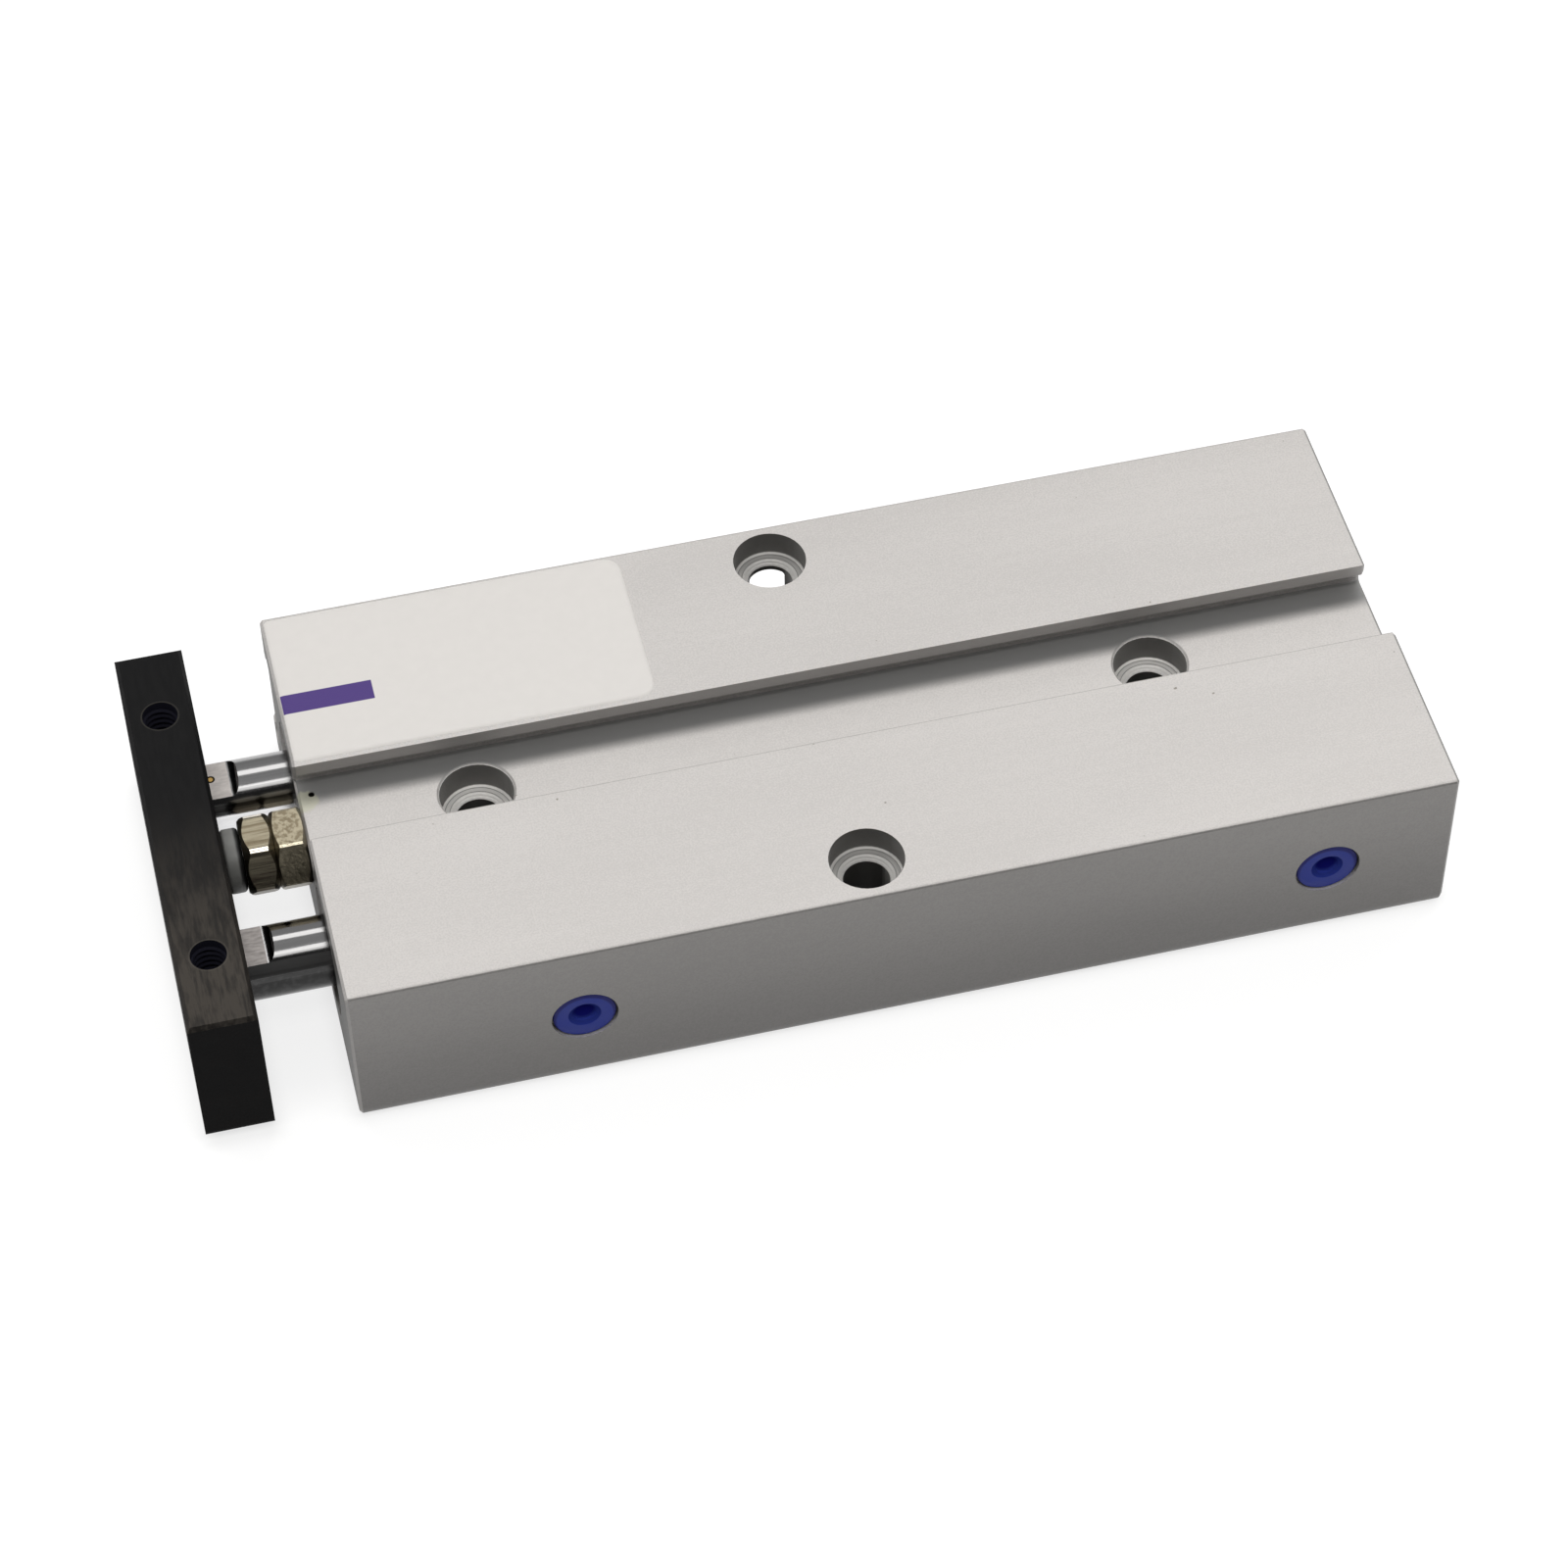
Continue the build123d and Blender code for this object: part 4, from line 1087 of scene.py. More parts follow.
@dataclass(frozen=True)
class ShadeBandBumper(Moulded):
    """Cast bumper with a band of painted shade beside the nuts.

    Attributes:
        band_x: X where the band begins and where it is full.
        band_shade_colour: Colour of the band of painted shade.
    """

    band_x: Reach = (-54.5, -54.25)
    band_shade_colour: Colour = (0.012, 0.012, 0.012)

    def detail(self, board: Board) -> None:
        """Add the band of painted shade to the moulded skin.

        Args:
            board: Board to build on.
        """
        super().detail(board)
        band = board.range(board.at[0], *self.band_x)
        board.set("Base Color", board.mix(band, board.current("Base Color"), self.band_shade_colour))


@dataclass(frozen=True)
class Ring:
    """Circle on the face of each plug.

    Attributes:
        radius: Radius of the circle.
        rise: Height of its middle above the plug's axis.
        soft: Width over which its edge fades, on each side.
    """

    radius: float
    rise: float
    soft: float


@dataclass(frozen=True)
class MouldedPlug(Moulded):
    """Moulded plugs whose dish, recess and upper rim are darkened as painted shade.

    Attributes:
        axes: X and Z of the plugs' axes.
        dish: Edge of the dish, darkened as painted shade.
        dish_shade_share: Share of the colour in the dish.
        recess: Edge of the dark recess.
        recess_shade_colour: Colour in it, a painted shade shifted towards its upper wall.
        clean: Edge of the part that the painted shadow along the upper rim surrounds.
        rim_shade_colour: Colour of that painted shadow.
    """

    axes: tuple[Spot, ...] = ((-27.0, 9.0), (42.4, 9.0))
    dish: Ring = Ring(1.5, 0.0, 0.06)
    dish_shade_share: float = 0.74
    recess: Ring = Ring(1.0, 0.25, 0.25)
    recess_shade_colour: Colour = (0.009, 0.01, 0.2)
    clean: Ring = Ring(2.62, -0.35, 0.14)
    rim_shade_colour: Colour = (0.008, 0.011, 0.19)

    def detail(self, board: Board) -> None:
        """Add painted shade in the dish and the recess, and a painted shadow along the upper rim, to the
        moulded skin.

        Args:
            board: Board to build on.
        """
        super().detail(board)
        dish = self.within(board, self.dish)
        skin = board.mix(dish, board.current("Base Color"), share_of(self.colour, self.dish_shade_share))
        skin = board.mix(self.within(board, self.recess), skin, self.recess_shade_colour)
        # Painted shadow along the flange's upper rim.
        rim = board.rest(self.within(board, self.clean))
        board.set("Base Color", board.mix(rim, skin, self.rim_shade_colour))
        board.set("Specular IOR Level", board.range(dish, 0.0, 1.0, self.gloss, 0.0))

    def within(self, board: Board, ring: Ring) -> Socket:
        """Mask of a circle on each plug's face.

        Args:
            board: Board to build on.
            ring: The circle.

        Returns:
            The mask, 1 inside.
        """
        masks = []
        for x, z in self.axes:
            from_axis = board.from_axis((x, 0.0, z + ring.rise), across=(1.0, 0.0, 1.0))
            masks.append(board.fade(from_axis, ring.radius - ring.soft, ring.radius + ring.soft))
        return board.fold("MAXIMUM", masks)


@dataclass(frozen=True)
class PrintedFilm(Finish):
    """Satin label film with one plain bar at its rod end.

    Attributes:
        bar_low: Lowest X and Y of the bar.
        bar_high: Highest X and Y of the bar.
        bar_soft: Width over which the bar's edges fade, on each side.
        bar_colour: Colour of the bar.
        mottle: Noise of the paper's mottle.
        mottle_shares: Shares of the colour in it.
        waves: Noise of the soft waves.
        wave_depth: Depth of the waves.
    """

    bar_low: Spot = (-47.7, 10.7)
    bar_high: Spot = (-39.2, 13.0)
    bar_soft: float = 0.03
    bar_colour: Colour = (0.06, 0.02, 0.22)
    mottle: Pattern = Pattern(0.9, 4.0)
    mottle_shares: tuple[float, float] = (0.97, 1.02)
    waves: Pattern = Pattern(0.25)
    wave_depth: float = 0.02

    def detail(self, board: Board) -> None:
        """Add the bar, a paper mottle and soft waves.

        Args:
            board: Board to build on.
        """
        paper = self.tone(board, board.noise(self.mottle), *self.mottle_shares)
        edges = []
        for value, low, high in zip(board.at, self.bar_low, self.bar_high):
            edges.append(board.range(value, low - self.bar_soft, low + self.bar_soft))
            edges.append(board.fade(value, high - self.bar_soft, high + self.bar_soft))
        board.set("Base Color", board.mix(board.times(*edges), paper, self.bar_colour))
        board.set("Normal", board.bump(board.noise(self.waves), self.wave_depth))


class Finishes:
    """All finishes of the cylinder."""

    body = BlastedAluminium("bead_blasted_aluminium", (0.615, 0.593, 0.577), 0.4, 0.35)
    plate = BlackAnodised("black_anodised_aluminium", (0.004, 0.004, 0.0045), 0.35)
    chrome = Chrome("chromed_steel", (0.33, 0.328, 0.33), 0.13, 1.0, spread=0.03)
    nut = PlatedNuts("yellow_plated_nut", (0.285, 0.254, 0.185), 0.3, 1.0)
    zinc = Drawn("zinc_plated_steel", (0.55, 0.55, 0.55), 0.35, 1.0)
    turned = Drawn("machined_aluminium", (0.66, 0.66, 0.66), 0.3, 1.0, stretch=(4.0, 0.2, 0.2))
    spring = Drawn("spring_steel", (0.16, 0.16, 0.17), 0.38, 1.0, stretch=(1.0, 1.5, 1.5))
    oxide = Drawn("black_oxide_steel", (0.06, 0.06, 0.062), 0.36, 0.9, stretch=(2.0, 2.0, 2.0))
    bronze = Drawn("bronze", (0.5, 0.34, 0.18), 0.4, 1.0, stretch=(2.0, 2.0, 2.0))
    rubber = Moulded("seal_rubber", (0.02, 0.02, 0.021), 0.5)
    bumper = ShadeBandBumper("grey_polymer", (0.235, 0.235, 0.225), 0.45)
    acetal = Moulded("wear_ring_polymer", (0.72, 0.7, 0.6), 0.4)
    magnet = Moulded("magnet", (0.06, 0.055, 0.055), 0.6)
    blue = MouldedPlug("blue_plastic", (0.04, 0.065, 0.42), 0.45, glow=0.1, gloss=0.2)
    film = PrintedFilm("label_vinyl", (0.832, 0.805, 0.777), 0.42)


class Piece:
    """Short ways to make, dress and place the cylinder's pieces."""

    @staticmethod
    def from_bmesh(name: str, mesh: Mesh, finish: Finish, sharp_deg: float = 32.0) -> bpy.types.Object:
        """Turn a bmesh in millimetres into a shaded object.

        Args:
            name: Name of the piece.
            mesh: Its geometry in millimetres; it is freed.
            finish: Its finish.
            sharp_deg: Angle above which an edge is sharp.

        Returns:
            The new object.
        """
        bmesh.ops.recalc_face_normals(mesh, faces=mesh.faces)
        bmesh.ops.scale(mesh, vec=(MM, MM, MM), verts=mesh.verts)
        data = bpy.data.meshes.new(name)
        mesh.to_mesh(data)
        mesh.free()
        data.polygons.foreach_set("use_smooth", [True] * len(data.polygons))
        data.set_sharp_from_angle(angle=math.radians(sharp_deg))
        data.materials.append(finish.material())
        made = bpy.data.objects.new(name, data)
        bpy.context.scene.collection.objects.link(made)
        return made

    @staticmethod
    def ready(piece: bpy.types.Object, body: str, slot: str, *nodes: str) -> None:
        """Let a piece ride on its body, and stand for its nodes.

        Args:
            piece: The piece, in place.
            body: Body that it moves with.
            slot: Name of a material slot; it is not used.
            nodes: Nodes that it replaces.
        """
        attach(piece, body)
        if nodes:
            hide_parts(*nodes)
        log.info("%s rides on %s", piece.name, body)

    @staticmethod
    def dress(finish: Finish, *nodes: str) -> None:
        """Give nodes of the frame a finish.

        Args:
            finish: The finish.
            nodes: Names of the nodes.
        """
        for node in nodes:
            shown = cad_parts[node]
            shown.data.materials.clear()
            shown.data.materials.append(finish.material())
            log.info("%s has the finish %s", node, finish.name)


# Placement that lays an axis along +X with its first angle towards +Y
AXIS_REARWARD = Matrix(((0, 0, 1, 0), (1, 0, 0, 0), (0, 1, 0, 0), (0, 0, 0, 1)))

# Radius below which a corner of a section lies on its axis
ON_AXIS = 1e-6

# Section of a thread's ridge: share of its height inwards, and share of the pitch along the axis
RIDGE_SECTION = ((0.0, -0.4), (0.86, -0.08), (0.86, 0.08), (0.0, 0.4))
RIDGE_STEPS = 40
RIDGE_LEAST = 0.02


def turned_angles(steps: int = 96) -> list[float]:
    """Evenly spaced angles round an axis."""
    return [math.tau * step / steps for step in range(steps)]


def join_loops(mesh: Mesh, first: Sequence[object], second: Sequence[object]) -> None:
    """Add the faces between two closed loops of corners.

    Args:
        mesh: Mesh to add to.
        first: Corners of one loop.
        second: Corners of the other, in the same order; a shared corner makes a triangle.
    """
    for index in range(len(first)):
        after = (index + 1) % len(first)
        corners = dict.fromkeys((first[index], first[after], second[after], second[index]))
        if len(corners) > 2:
            mesh.faces.new(tuple(corners))


def wrap(mesh: Mesh, place: Matrix, profile: Callable[[float], Profile], angles: Sequence[float]) -> None:
    """Add a closed body whose section may change around its axis.

    Args:
        mesh: Mesh to add to.
        place: Placement whose Z is the axis.
        profile: Gives the section at an angle, as distance along the axis and radius, in order.
        angles: Angles at which sections stand.
    """
    centres: dict[int, bmesh.types.BMVert] = {}
    columns = []
    for angle in angles:
        column = []
        for index, (along, radius) in enumerate(profile(angle)):
            if radius < ON_AXIS:
                if index not in centres:
                    centres[index] = mesh.verts.new(place @ Vector((0, 0, along)))
                column.append(centres[index])
            else:
                spot = Vector((radius * math.cos(angle), radius * math.sin(angle), along))
                column.append(mesh.verts.new(place @ spot))
        columns.append(column)
    for number, column in enumerate(columns):
        join_loops(mesh, column, columns[(number + 1) % len(columns)])


def thread_ridge(
    mesh: Mesh, place: Matrix, radius: float, height: float, pitch: float, ends: Reach
) -> None:
    """Add the helical ridge of a tapped hole.

    Args:
        mesh: Mesh to add to.
        place: Placement whose Z is the hole's axis.
        radius: Radius of the hole's wall.
        height: Height of the ridge, inwards from the wall.
        pitch: Advance per turn.
        ends: Where the ridge begins and ends along the axis.
    """
    turns = (ends[1] - ends[0]) / pitch
    steps = int(turns * RIDGE_STEPS)
    columns = []
    for step in range(steps + 1):
        share = step / steps
        angle = math.tau * turns * share
        middle = ends[0] + (ends[1] - ends[0]) * share
        fade = min(1.0, share * turns * 2, (1 - share) * turns * 2)
        column = []
        for inward, across in RIDGE_SECTION:
            reach = radius - inward * height * max(fade, RIDGE_LEAST)
            spot = Vector((reach * math.cos(angle), reach * math.sin(angle), middle + across * pitch))
            column.append(mesh.verts.new(place @ spot))
        columns.append(column)
    for first, second in zip(columns, columns[1:]):
        join_loops(mesh, first, second)
    mesh.faces.new(columns[0])
    mesh.faces.new(columns[-1])


def rounded(points: Profile, radii: Sequence[float], steps: int = 5) -> list[tuple[float, float]]:
    """Round the corners of a closed profile.

    Args:
        points: Corners of the profile.
        radii: Radius of each corner; 0 keeps it sharp.
        steps: Points per rounded corner.

    Returns:
        The rounded profile.
    """
    result = []
    count = len(points)
    for index, radius in enumerate(radii):
        corner = Vector(points[index])
        if radius <= 0:
            result.append(tuple(corner))
            continue
        before = (Vector(points[index - 1]) - corner).normalized()
        after = (Vector(points[(index + 1) % count]) - corner).normalized()
        half = before.angle(after) / 2
        reach = radius / math.tan(half)
        centre = corner + (before + after).normalized() * (radius / math.sin(half))
        start, end = corner + before * reach - centre, corner + after * reach - centre
        sweep = start.angle_signed(end)
        for step in range(steps + 1):
            angle = -sweep * step / steps
            turned = Vector((
                start.x * math.cos(angle) - start.y * math.sin(angle),
                start.x * math.sin(angle) + start.y * math.cos(angle),
            ))
            result.append(tuple(centre + turned))
    return result


@dataclass
class Housing:
    """Extruded housing with its covers, circlips and seals, kept from the frame."""

    def build(self) -> None:
        """Dress the housing and what its bores hold."""
        Piece.dress(Finishes.body, "housing")
        seals = ("cover_seal", "rod_seal", "cushion_ring", "rear_seal")
        for side in Side:
            Piece.dress(Finishes.turned, f"{side.value}_rod_cover", f"{side.value}_rear_cover")
            Piece.dress(Finishes.spring, f"{side.value}_front_circlip", f"{side.value}_rear_circlip")
            Piece.dress(Finishes.bronze, f"{side.value}_rod_bushing")
            Piece.dress(Finishes.rubber, *(f"{side.value}_{seal}" for seal in seals))


@dataclass
class Label:
    """Printed film on the far land, thinned at its edge where it is pressed down.

    Attributes:
        low: Lowest X and Y of the film.
        high: Highest X and Y of the film.
        base: Height of the land.
        thickness: Thickness of the film.
        pressed: Width of the thinned edge.
        corner_radii: Radii of the corners, from the lowest X and Y round to the rear.
        corner_least: Least radius of the corners of an inner ring.
        corner_steps: Points per rounded corner.
        rings: Inset and height of the rings up to the top of the film.
        flat_inset: Inset of the innermost ring beyond the thinned edge.
        sharp_deg: Angle above which an edge of the film is sharp.
    """

    low: tuple[float, float] = (-47.7, 4.85)
    high: tuple[float, float] = (-13.9, 22.55)
    base: float = 18.0
    thickness: float = 0.08
    pressed: float = 0.3
    corner_radii: tuple[float, ...] = (0.5, 1.6, 1.6, 0.5)
    corner_least: float = 0.05
    corner_steps: int = 8
    rings: tuple[tuple[float, float], ...] = ((0.0, 0.004), (0.02, 0.02))
    flat_inset: float = 0.4
    sharp_deg: float = 80.0

    def outline(self, inset: float) -> Profile:
        """Outline of the film, set in by a distance.

        Args:
            inset: How far it lies inside the film's edge.

        Returns:
            The outline's points.
        """
        left, front = (value + inset for value in self.low)
        right, rear = (value - inset for value in self.high)
        corners = [(left, front), (right, front), (right, rear), (left, rear)]
        radii = [max(self.corner_least, radius - inset) for radius in self.corner_radii]
        return rounded(corners, radii, self.corner_steps)

    def build(self) -> None:
        """Build the film from rings that rise from its thinned edge to its flat middle."""
        mesh = bmesh.new()
        flat = [(inset, self.thickness) for inset in (self.pressed, self.pressed + self.flat_inset)]
        rings = []
        for inset, height in (*self.rings, *flat):
            rings.append([mesh.verts.new((x, y, self.base + height)) for x, y in self.outline(inset)])
        for outer, inner in zip(rings, rings[1:]):
            join_loops(mesh, outer, inner)
        mesh.faces.new(rings[-1])
        mesh.faces.new(rings[0])
        film = Piece.from_bmesh("label_film", mesh, Finishes.film, self.sharp_deg)
        Piece.ready(film, HOUSING_BODY, "label_vinyl", "label")


@dataclass
class Nut:
    """Hexagon nut with both faces turned off at its corners.

    Attributes:
        place_mm: Middle of the face that points away from the housing.
        turn_deg: Angle of its first corner.
        face_radius: Radius at which the turned-off corners begin.
        across: Distance across flats.
        thickness: Length along its axis.
        bore_radius: Radius of its thread.
        corner_radius: Radius of the worn corners.
        worn_turn_deg: Angle from a corner to the small flat that the spanner wore beside it.
        worn_depth: Depth of that flat.
        slope: Rise of the turned-off corners per length along the axis.
        countersink: Width and depth of the countersunk thread.
        flat_parts: Where sections stand on a flat, as shares of its half width.
        bend_parts: Where sections stand on a corner, as shares of its half width.
    """

    place_mm: tuple[float, float, float]
    turn_deg: float
    face_radius: float = 3.35
    across: float = 7.0
    thickness: float = 2.9
    bore_radius: float = 2.02
    corner_radius: float = 0.4
    worn_turn_deg: float = 4.5
    worn_depth: float = 0.03
    slope: float = 1.55
    countersink: float = 0.2
    flat_parts: tuple[float, ...] = (-1.0, -0.97, -0.8, -0.5, -0.2, 0.2, 0.5, 0.8, 0.97, 1.0)
    bend_parts: tuple[float, ...] = tuple(0.14 * step for step in range(-6, 7))

    def add_to(self, mesh: Mesh) -> None:
        """Add the nut's body.

        Args:
            mesh: Mesh to add to.
        """
        corner = math.tau / 6
        start = math.radians(self.turn_deg)
        half_flat = self.across / 2
        centre = (half_flat - self.corner_radius) / math.cos(corner / 2)
        bend = corner / 2 - math.atan((half_flat - self.corner_radius) * math.tan(corner / 2) / half_flat)
        worn_turn = math.radians(-self.worn_turn_deg)
        worn_reach = centre * math.cos(worn_turn) + self.corner_radius - self.worn_depth
        parts = [part * (corner / 2 - bend) for part in self.flat_parts]
        parts += [corner / 2 + bend * part for part in self.bend_parts]
        angles = [start + corner * (side + 0.5) + part for side in range(6) for part in parts]

        def section(angle: float) -> Profile:
            """Cut the nut at an angle.

            Args:
                angle: The angle.

            Returns:
                The section.
            """
            off_flat = (angle - start) % corner - corner / 2
            off_corner = corner / 2 - abs(off_flat)
            reach = half_flat / math.cos(off_flat)
            if off_corner < bend:
                across = centre * math.sin(off_corner)
                reach = centre * math.cos(off_corner) + math.sqrt(self.corner_radius ** 2 - across ** 2)
                from_corner = off_flat - math.copysign(corner / 2, off_flat)
                reach = min(reach, worn_reach / math.cos(from_corner - worn_turn))
            cut = max(0.0, (reach - self.face_radius) / self.slope)
            bore, sink, end = self.bore_radius, self.countersink, self.thickness
            return [
                (0.0, bore + sink), (0.0, self.face_radius), (cut, reach), (end - cut, reach),
                (end, self.face_radius), (end, bore + sink), (end - sink, bore), (sink, bore),
            ]

        wrap(mesh, Matrix.Translation(self.place_mm) @ AXIS_REARWARD, section, angles)


@dataclass
class RetractStop:
    """Stud, two locked nuts and a polymer bumper on the housing's rod end.

    Attributes:
        height: Height of the stop's axis.
        front_nut_x: X of the front nut's outer face.
        rear_nut_x: X of the rear nut's outer face.
        bumper_x: X of the bumper's two faces.
        bumper_radius: Radius of the bumper.
        bumper_drop: How far the soft bumper hangs below the stop's axis.
        bumper_rounding: Radii of its section's corners, from the middle of its front face to its hole.
        spigot_radius: Radius of the bumper's hole for the stud.
        spigot_depth: Depth of that hole.
        turn_deg: Angle of the nuts' first corner.
        sharp_deg: Angle above which an edge of the nuts is sharp.
    """

    height: float = 12.0
    front_nut_x: float = -53.86
    rear_nut_x: float = -50.93
    bumper_x: tuple[float, float] = (-55.55, -53.9)
    bumper_radius: float = 3.0
    bumper_drop: float = 0.25
    bumper_rounding: tuple[float, ...] = (0.0, 0.3, 0.42, 0.05, 0.0, 0.0)
    spigot_radius: float = 1.02
    spigot_depth: float = 1.0
    turn_deg: float = 5.0
    sharp_deg: float = 24.0

    def build(self) -> None:
        """Build the nuts and the bumper, and dress the stud."""
        Piece.dress(Finishes.zinc, "stop_stud")
        mesh = bmesh.new()
        front_place, rear_place = ((x, 0.0, self.height) for x in (self.front_nut_x, self.rear_nut_x))
        Nut(front_place, self.turn_deg, face_radius=3.3, corner_radius=0.85, slope=0.95).add_to(mesh)
        Nut(rear_place, self.turn_deg).add_to(mesh)
        nuts = Piece.from_bmesh("lock_nuts", mesh, Finishes.nut, self.sharp_deg)
        Piece.ready(nuts, HOUSING_BODY, "yellow_plated_nut", "stop_nuts")

        front, rear = self.bumper_x
        length = rear - front

        def section(angle: float) -> Profile:
            """Cut the bumper, whose rim stands off the stud's axis, at an angle.

            Args:
                angle: The angle.

            Returns:
                The section.
            """
            down = self.bumper_drop * math.sin(angle)
            rim = -down + math.sqrt(self.bumper_radius ** 2 - self.bumper_drop ** 2 + down ** 2)
            corners = [
                (0.0, 0.0), (0.0, rim), (length, rim), (length, self.spigot_radius),
                (length - self.spigot_depth, self.spigot_radius), (length - self.spigot_depth, 0.0),
            ]
            return rounded(corners, self.bumper_rounding)

        mesh = bmesh.new()
        wrap(mesh, Matrix.Translation((front, 0.0, self.height)) @ AXIS_REARWARD, section, turned_angles())
        bumper = Piece.from_bmesh("bumper", mesh, Finishes.bumper)
        Piece.ready(bumper, HOUSING_BODY, "grey_polymer", "stop_bumper")


@dataclass
class RodCarriage:
    """Rods, pistons and end plate.

    Attributes:
        top_holes: X and Y of the tapped holes in the plate's upper edge.
        face_holes: Y and Z of the tapped holes in the plate's outer face.
        plate_x: X of the plate's two faces.
        plate_top: Height of the plate's upper edge.
        tap_radius: Radius of the tapped holes.
        ridge: Height of the thread's ridge.
        pitch: Pitch of the thread.
        top_depth: Where the thread begins and ends in the top holes.
        face_inset: Distance of the thread's ends from the plate's faces in the others.
    """

    top_holes: tuple[tuple[float, float], ...] = ((-58.75, -14.3), (-58.75, 14.3))
    face_holes: tuple[tuple[float, float], ...] = ((-18.5, 9.0), (18.5, 9.0))
    plate_x: tuple[float, float] = (-61.9, -55.6)
    plate_top: float = 17.0
    tap_radius: float = 1.66
    ridge: float = 0.2
    pitch: float = 0.7
    top_depth: tuple[float, float] = (0.65, 6.4)
    face_inset: float = 0.65

    def build_threads(self) -> None:
        """Cut the thread's ridges into the plate's four tapped holes."""
        mesh = bmesh.new()
        downwards = Matrix.Rotation(math.pi, 4, "X")
        for x, y in self.top_holes:
            place = Matrix.Translation((x, y, self.plate_top)) @ downwards
            thread_ridge(mesh, place, self.tap_radius, self.ridge, self.pitch, self.top_depth)
        face_depth = (self.face_inset, self.plate_x[1] - self.plate_x[0] - self.face_inset)
        for y, z in self.face_holes:
            place = Matrix.Translation((self.plate_x[0], y, z)) @ AXIS_REARWARD
            thread_ridge(mesh, place, self.tap_radius, self.ridge, self.pitch, face_depth)
        threads = Piece.from_bmesh("plate_threads", mesh, Finishes.plate)
        Piece.ready(threads, CARRIAGE_BODY, "black_anodised_aluminium")

    def build(self) -> None:
        """Dress the carriage and build the threads."""
        self.build_threads()
        Piece.dress(Finishes.plate, "end_plate")
        Piece.dress(Finishes.oxide, "plate_screws", "piston_screws")
        Piece.dress(Finishes.magnet, "magnet_ring")
        for side in Side:
            Piece.dress(Finishes.chrome, f"{side.value}_rod")
            Piece.dress(Finishes.turned, f"{side.value}_piston")
            Piece.dress(Finishes.acetal, f"{side.value}_wear_ring")
            Piece.dress(Finishes.rubber, f"{side.value}_piston_seal")


@dataclass
class PortPlugs:
    """Transport plugs in the air ports, each with a flange, a recess and a ribbed shank.

    Attributes:
        places: Body, node and X of each plug.
        face_y: Y of the housing's side.
        height: Height of the ports' axes.
        flange_radius: Radius of the flange.
        flange_depth: Thickness of the flange.
        shank_radius: Radius of the shank's ribs.
        groove: Depth of the grooves between the ribs.
        shank_depth: Depth of the shank's end.
        sunk: How far the flange lies below the housing's side.
        dish_radius: Radius of the shallow dish around the recess.
        dish_depth: Depth of the dish.
        recess_radius: Radius of the recess.
        recess_depth: Depth of the recess.
        ribs: Number of ribs.
        rib_margin: Length of the plain shank before the first rib and after the last.
        rib_shares: Where a rib's top begins and ends and where its foot ends, as shares of its length.
        tip: Length and depth of the bevel at the shank's end.
        rim_slopes: How far the recess's floor, its wall's top and the dish's floor lie inside their edges.
        roundings: Radii of the corners of the flange's section, from the recess to the shank.
        tap_radius: Radius of the ports' tapped holes.
        ridge: Height of the thread's ridge.
        pitch: Pitch of the thread.
        thread_depth: Where the thread begins and ends.
    """

    places: tuple[tuple[str, str, float], ...] = (
        ("front_plug", "front_port_plug", -27.0),
        ("rear_plug", "rear_port_plug", 42.4),
    )
    face_y: float = -23.0
    height: float = 9.0
    flange_radius: float = 2.89
    flange_depth: float = 0.55
    shank_radius: float = 1.84
    groove: float = 0.2
    shank_depth: float = 4.6
    sunk: float = 0.2
    dish_radius: float = 1.5
    dish_depth: float = 0.34
    recess_radius: float = 1.08
    recess_depth: float = 0.62
    ribs: int = 4
    rib_margin: float = 0.25
    rib_shares: tuple[float, float, float] = (0.15, 0.35, 0.95)
    tip: tuple[float, float] = (0.2, 0.25)
    rim_slopes: tuple[float, float, float] = (0.06, 0.06, 0.2)
    roundings: tuple[float, ...] = (0.0, 0.08, 0.05, 0.05, 0.05, 0.1, 0.04, 0.0)
    tap_radius: float = 2.11
    ridge: float = 0.22
    pitch: float = 0.8
    thread_depth: tuple[float, float] = (1.05, 5.1)

    def section(self) -> Profile:
        """Section of a plug, measured inwards from the housing's side.

        Returns:
            The closed section.
        """
        core = self.shank_radius - self.groove
        recess_slope, wall_top, dish_slope = self.rim_slopes
        corners = [
            (self.recess_depth, 0.0),
            (self.recess_depth, self.recess_radius - recess_slope),
            (self.dish_depth + wall_top, self.recess_radius),
            (self.dish_depth, self.dish_radius - dish_slope),
            (self.sunk, self.dish_radius),
            (self.sunk, self.flange_radius),
            (self.flange_depth, self.flange_radius),
            (self.flange_depth, core),
        ]
        section = rounded(corners, self.roundings)
        step = (self.shank_depth - self.flange_depth - 2 * self.rib_margin) / self.ribs
        heights = (core, self.shank_radius, self.shank_radius, core)
        for rib in range(self.ribs):
            start = self.flange_depth + self.rib_margin + rib * step
            for share, radius in zip((0.0, *self.rib_shares), heights):
                section.append((start + step * share, radius))
        bevel, depth = self.tip
        end = self.shank_depth
        return [*section, (end - bevel, core), (end, core - depth), (end, 0.0)]

    def build(self) -> None:
        """Build both plugs and the threads behind them."""
        section = self.section()
        threads = bmesh.new()
        inwards = Matrix.Rotation(math.radians(-90), 4, "X")
        for body, node, x in self.places:
            mesh = bmesh.new()
            place = Matrix.Translation((x, self.face_y, self.height)) @ inwards
            wrap(mesh, place, lambda _: section, turned_angles())
            plug = Piece.from_bmesh(f"{node}_moulding", mesh, Finishes.blue)
            Piece.ready(plug, body, "blue_plastic", node)
            thread_ridge(threads, place, self.tap_radius, self.ridge, self.pitch, self.thread_depth)
        ridges = Piece.from_bmesh("port_threads", threads, Finishes.body)
        Piece.ready(ridges, HOUSING_BODY, "bead_blasted_aluminium")


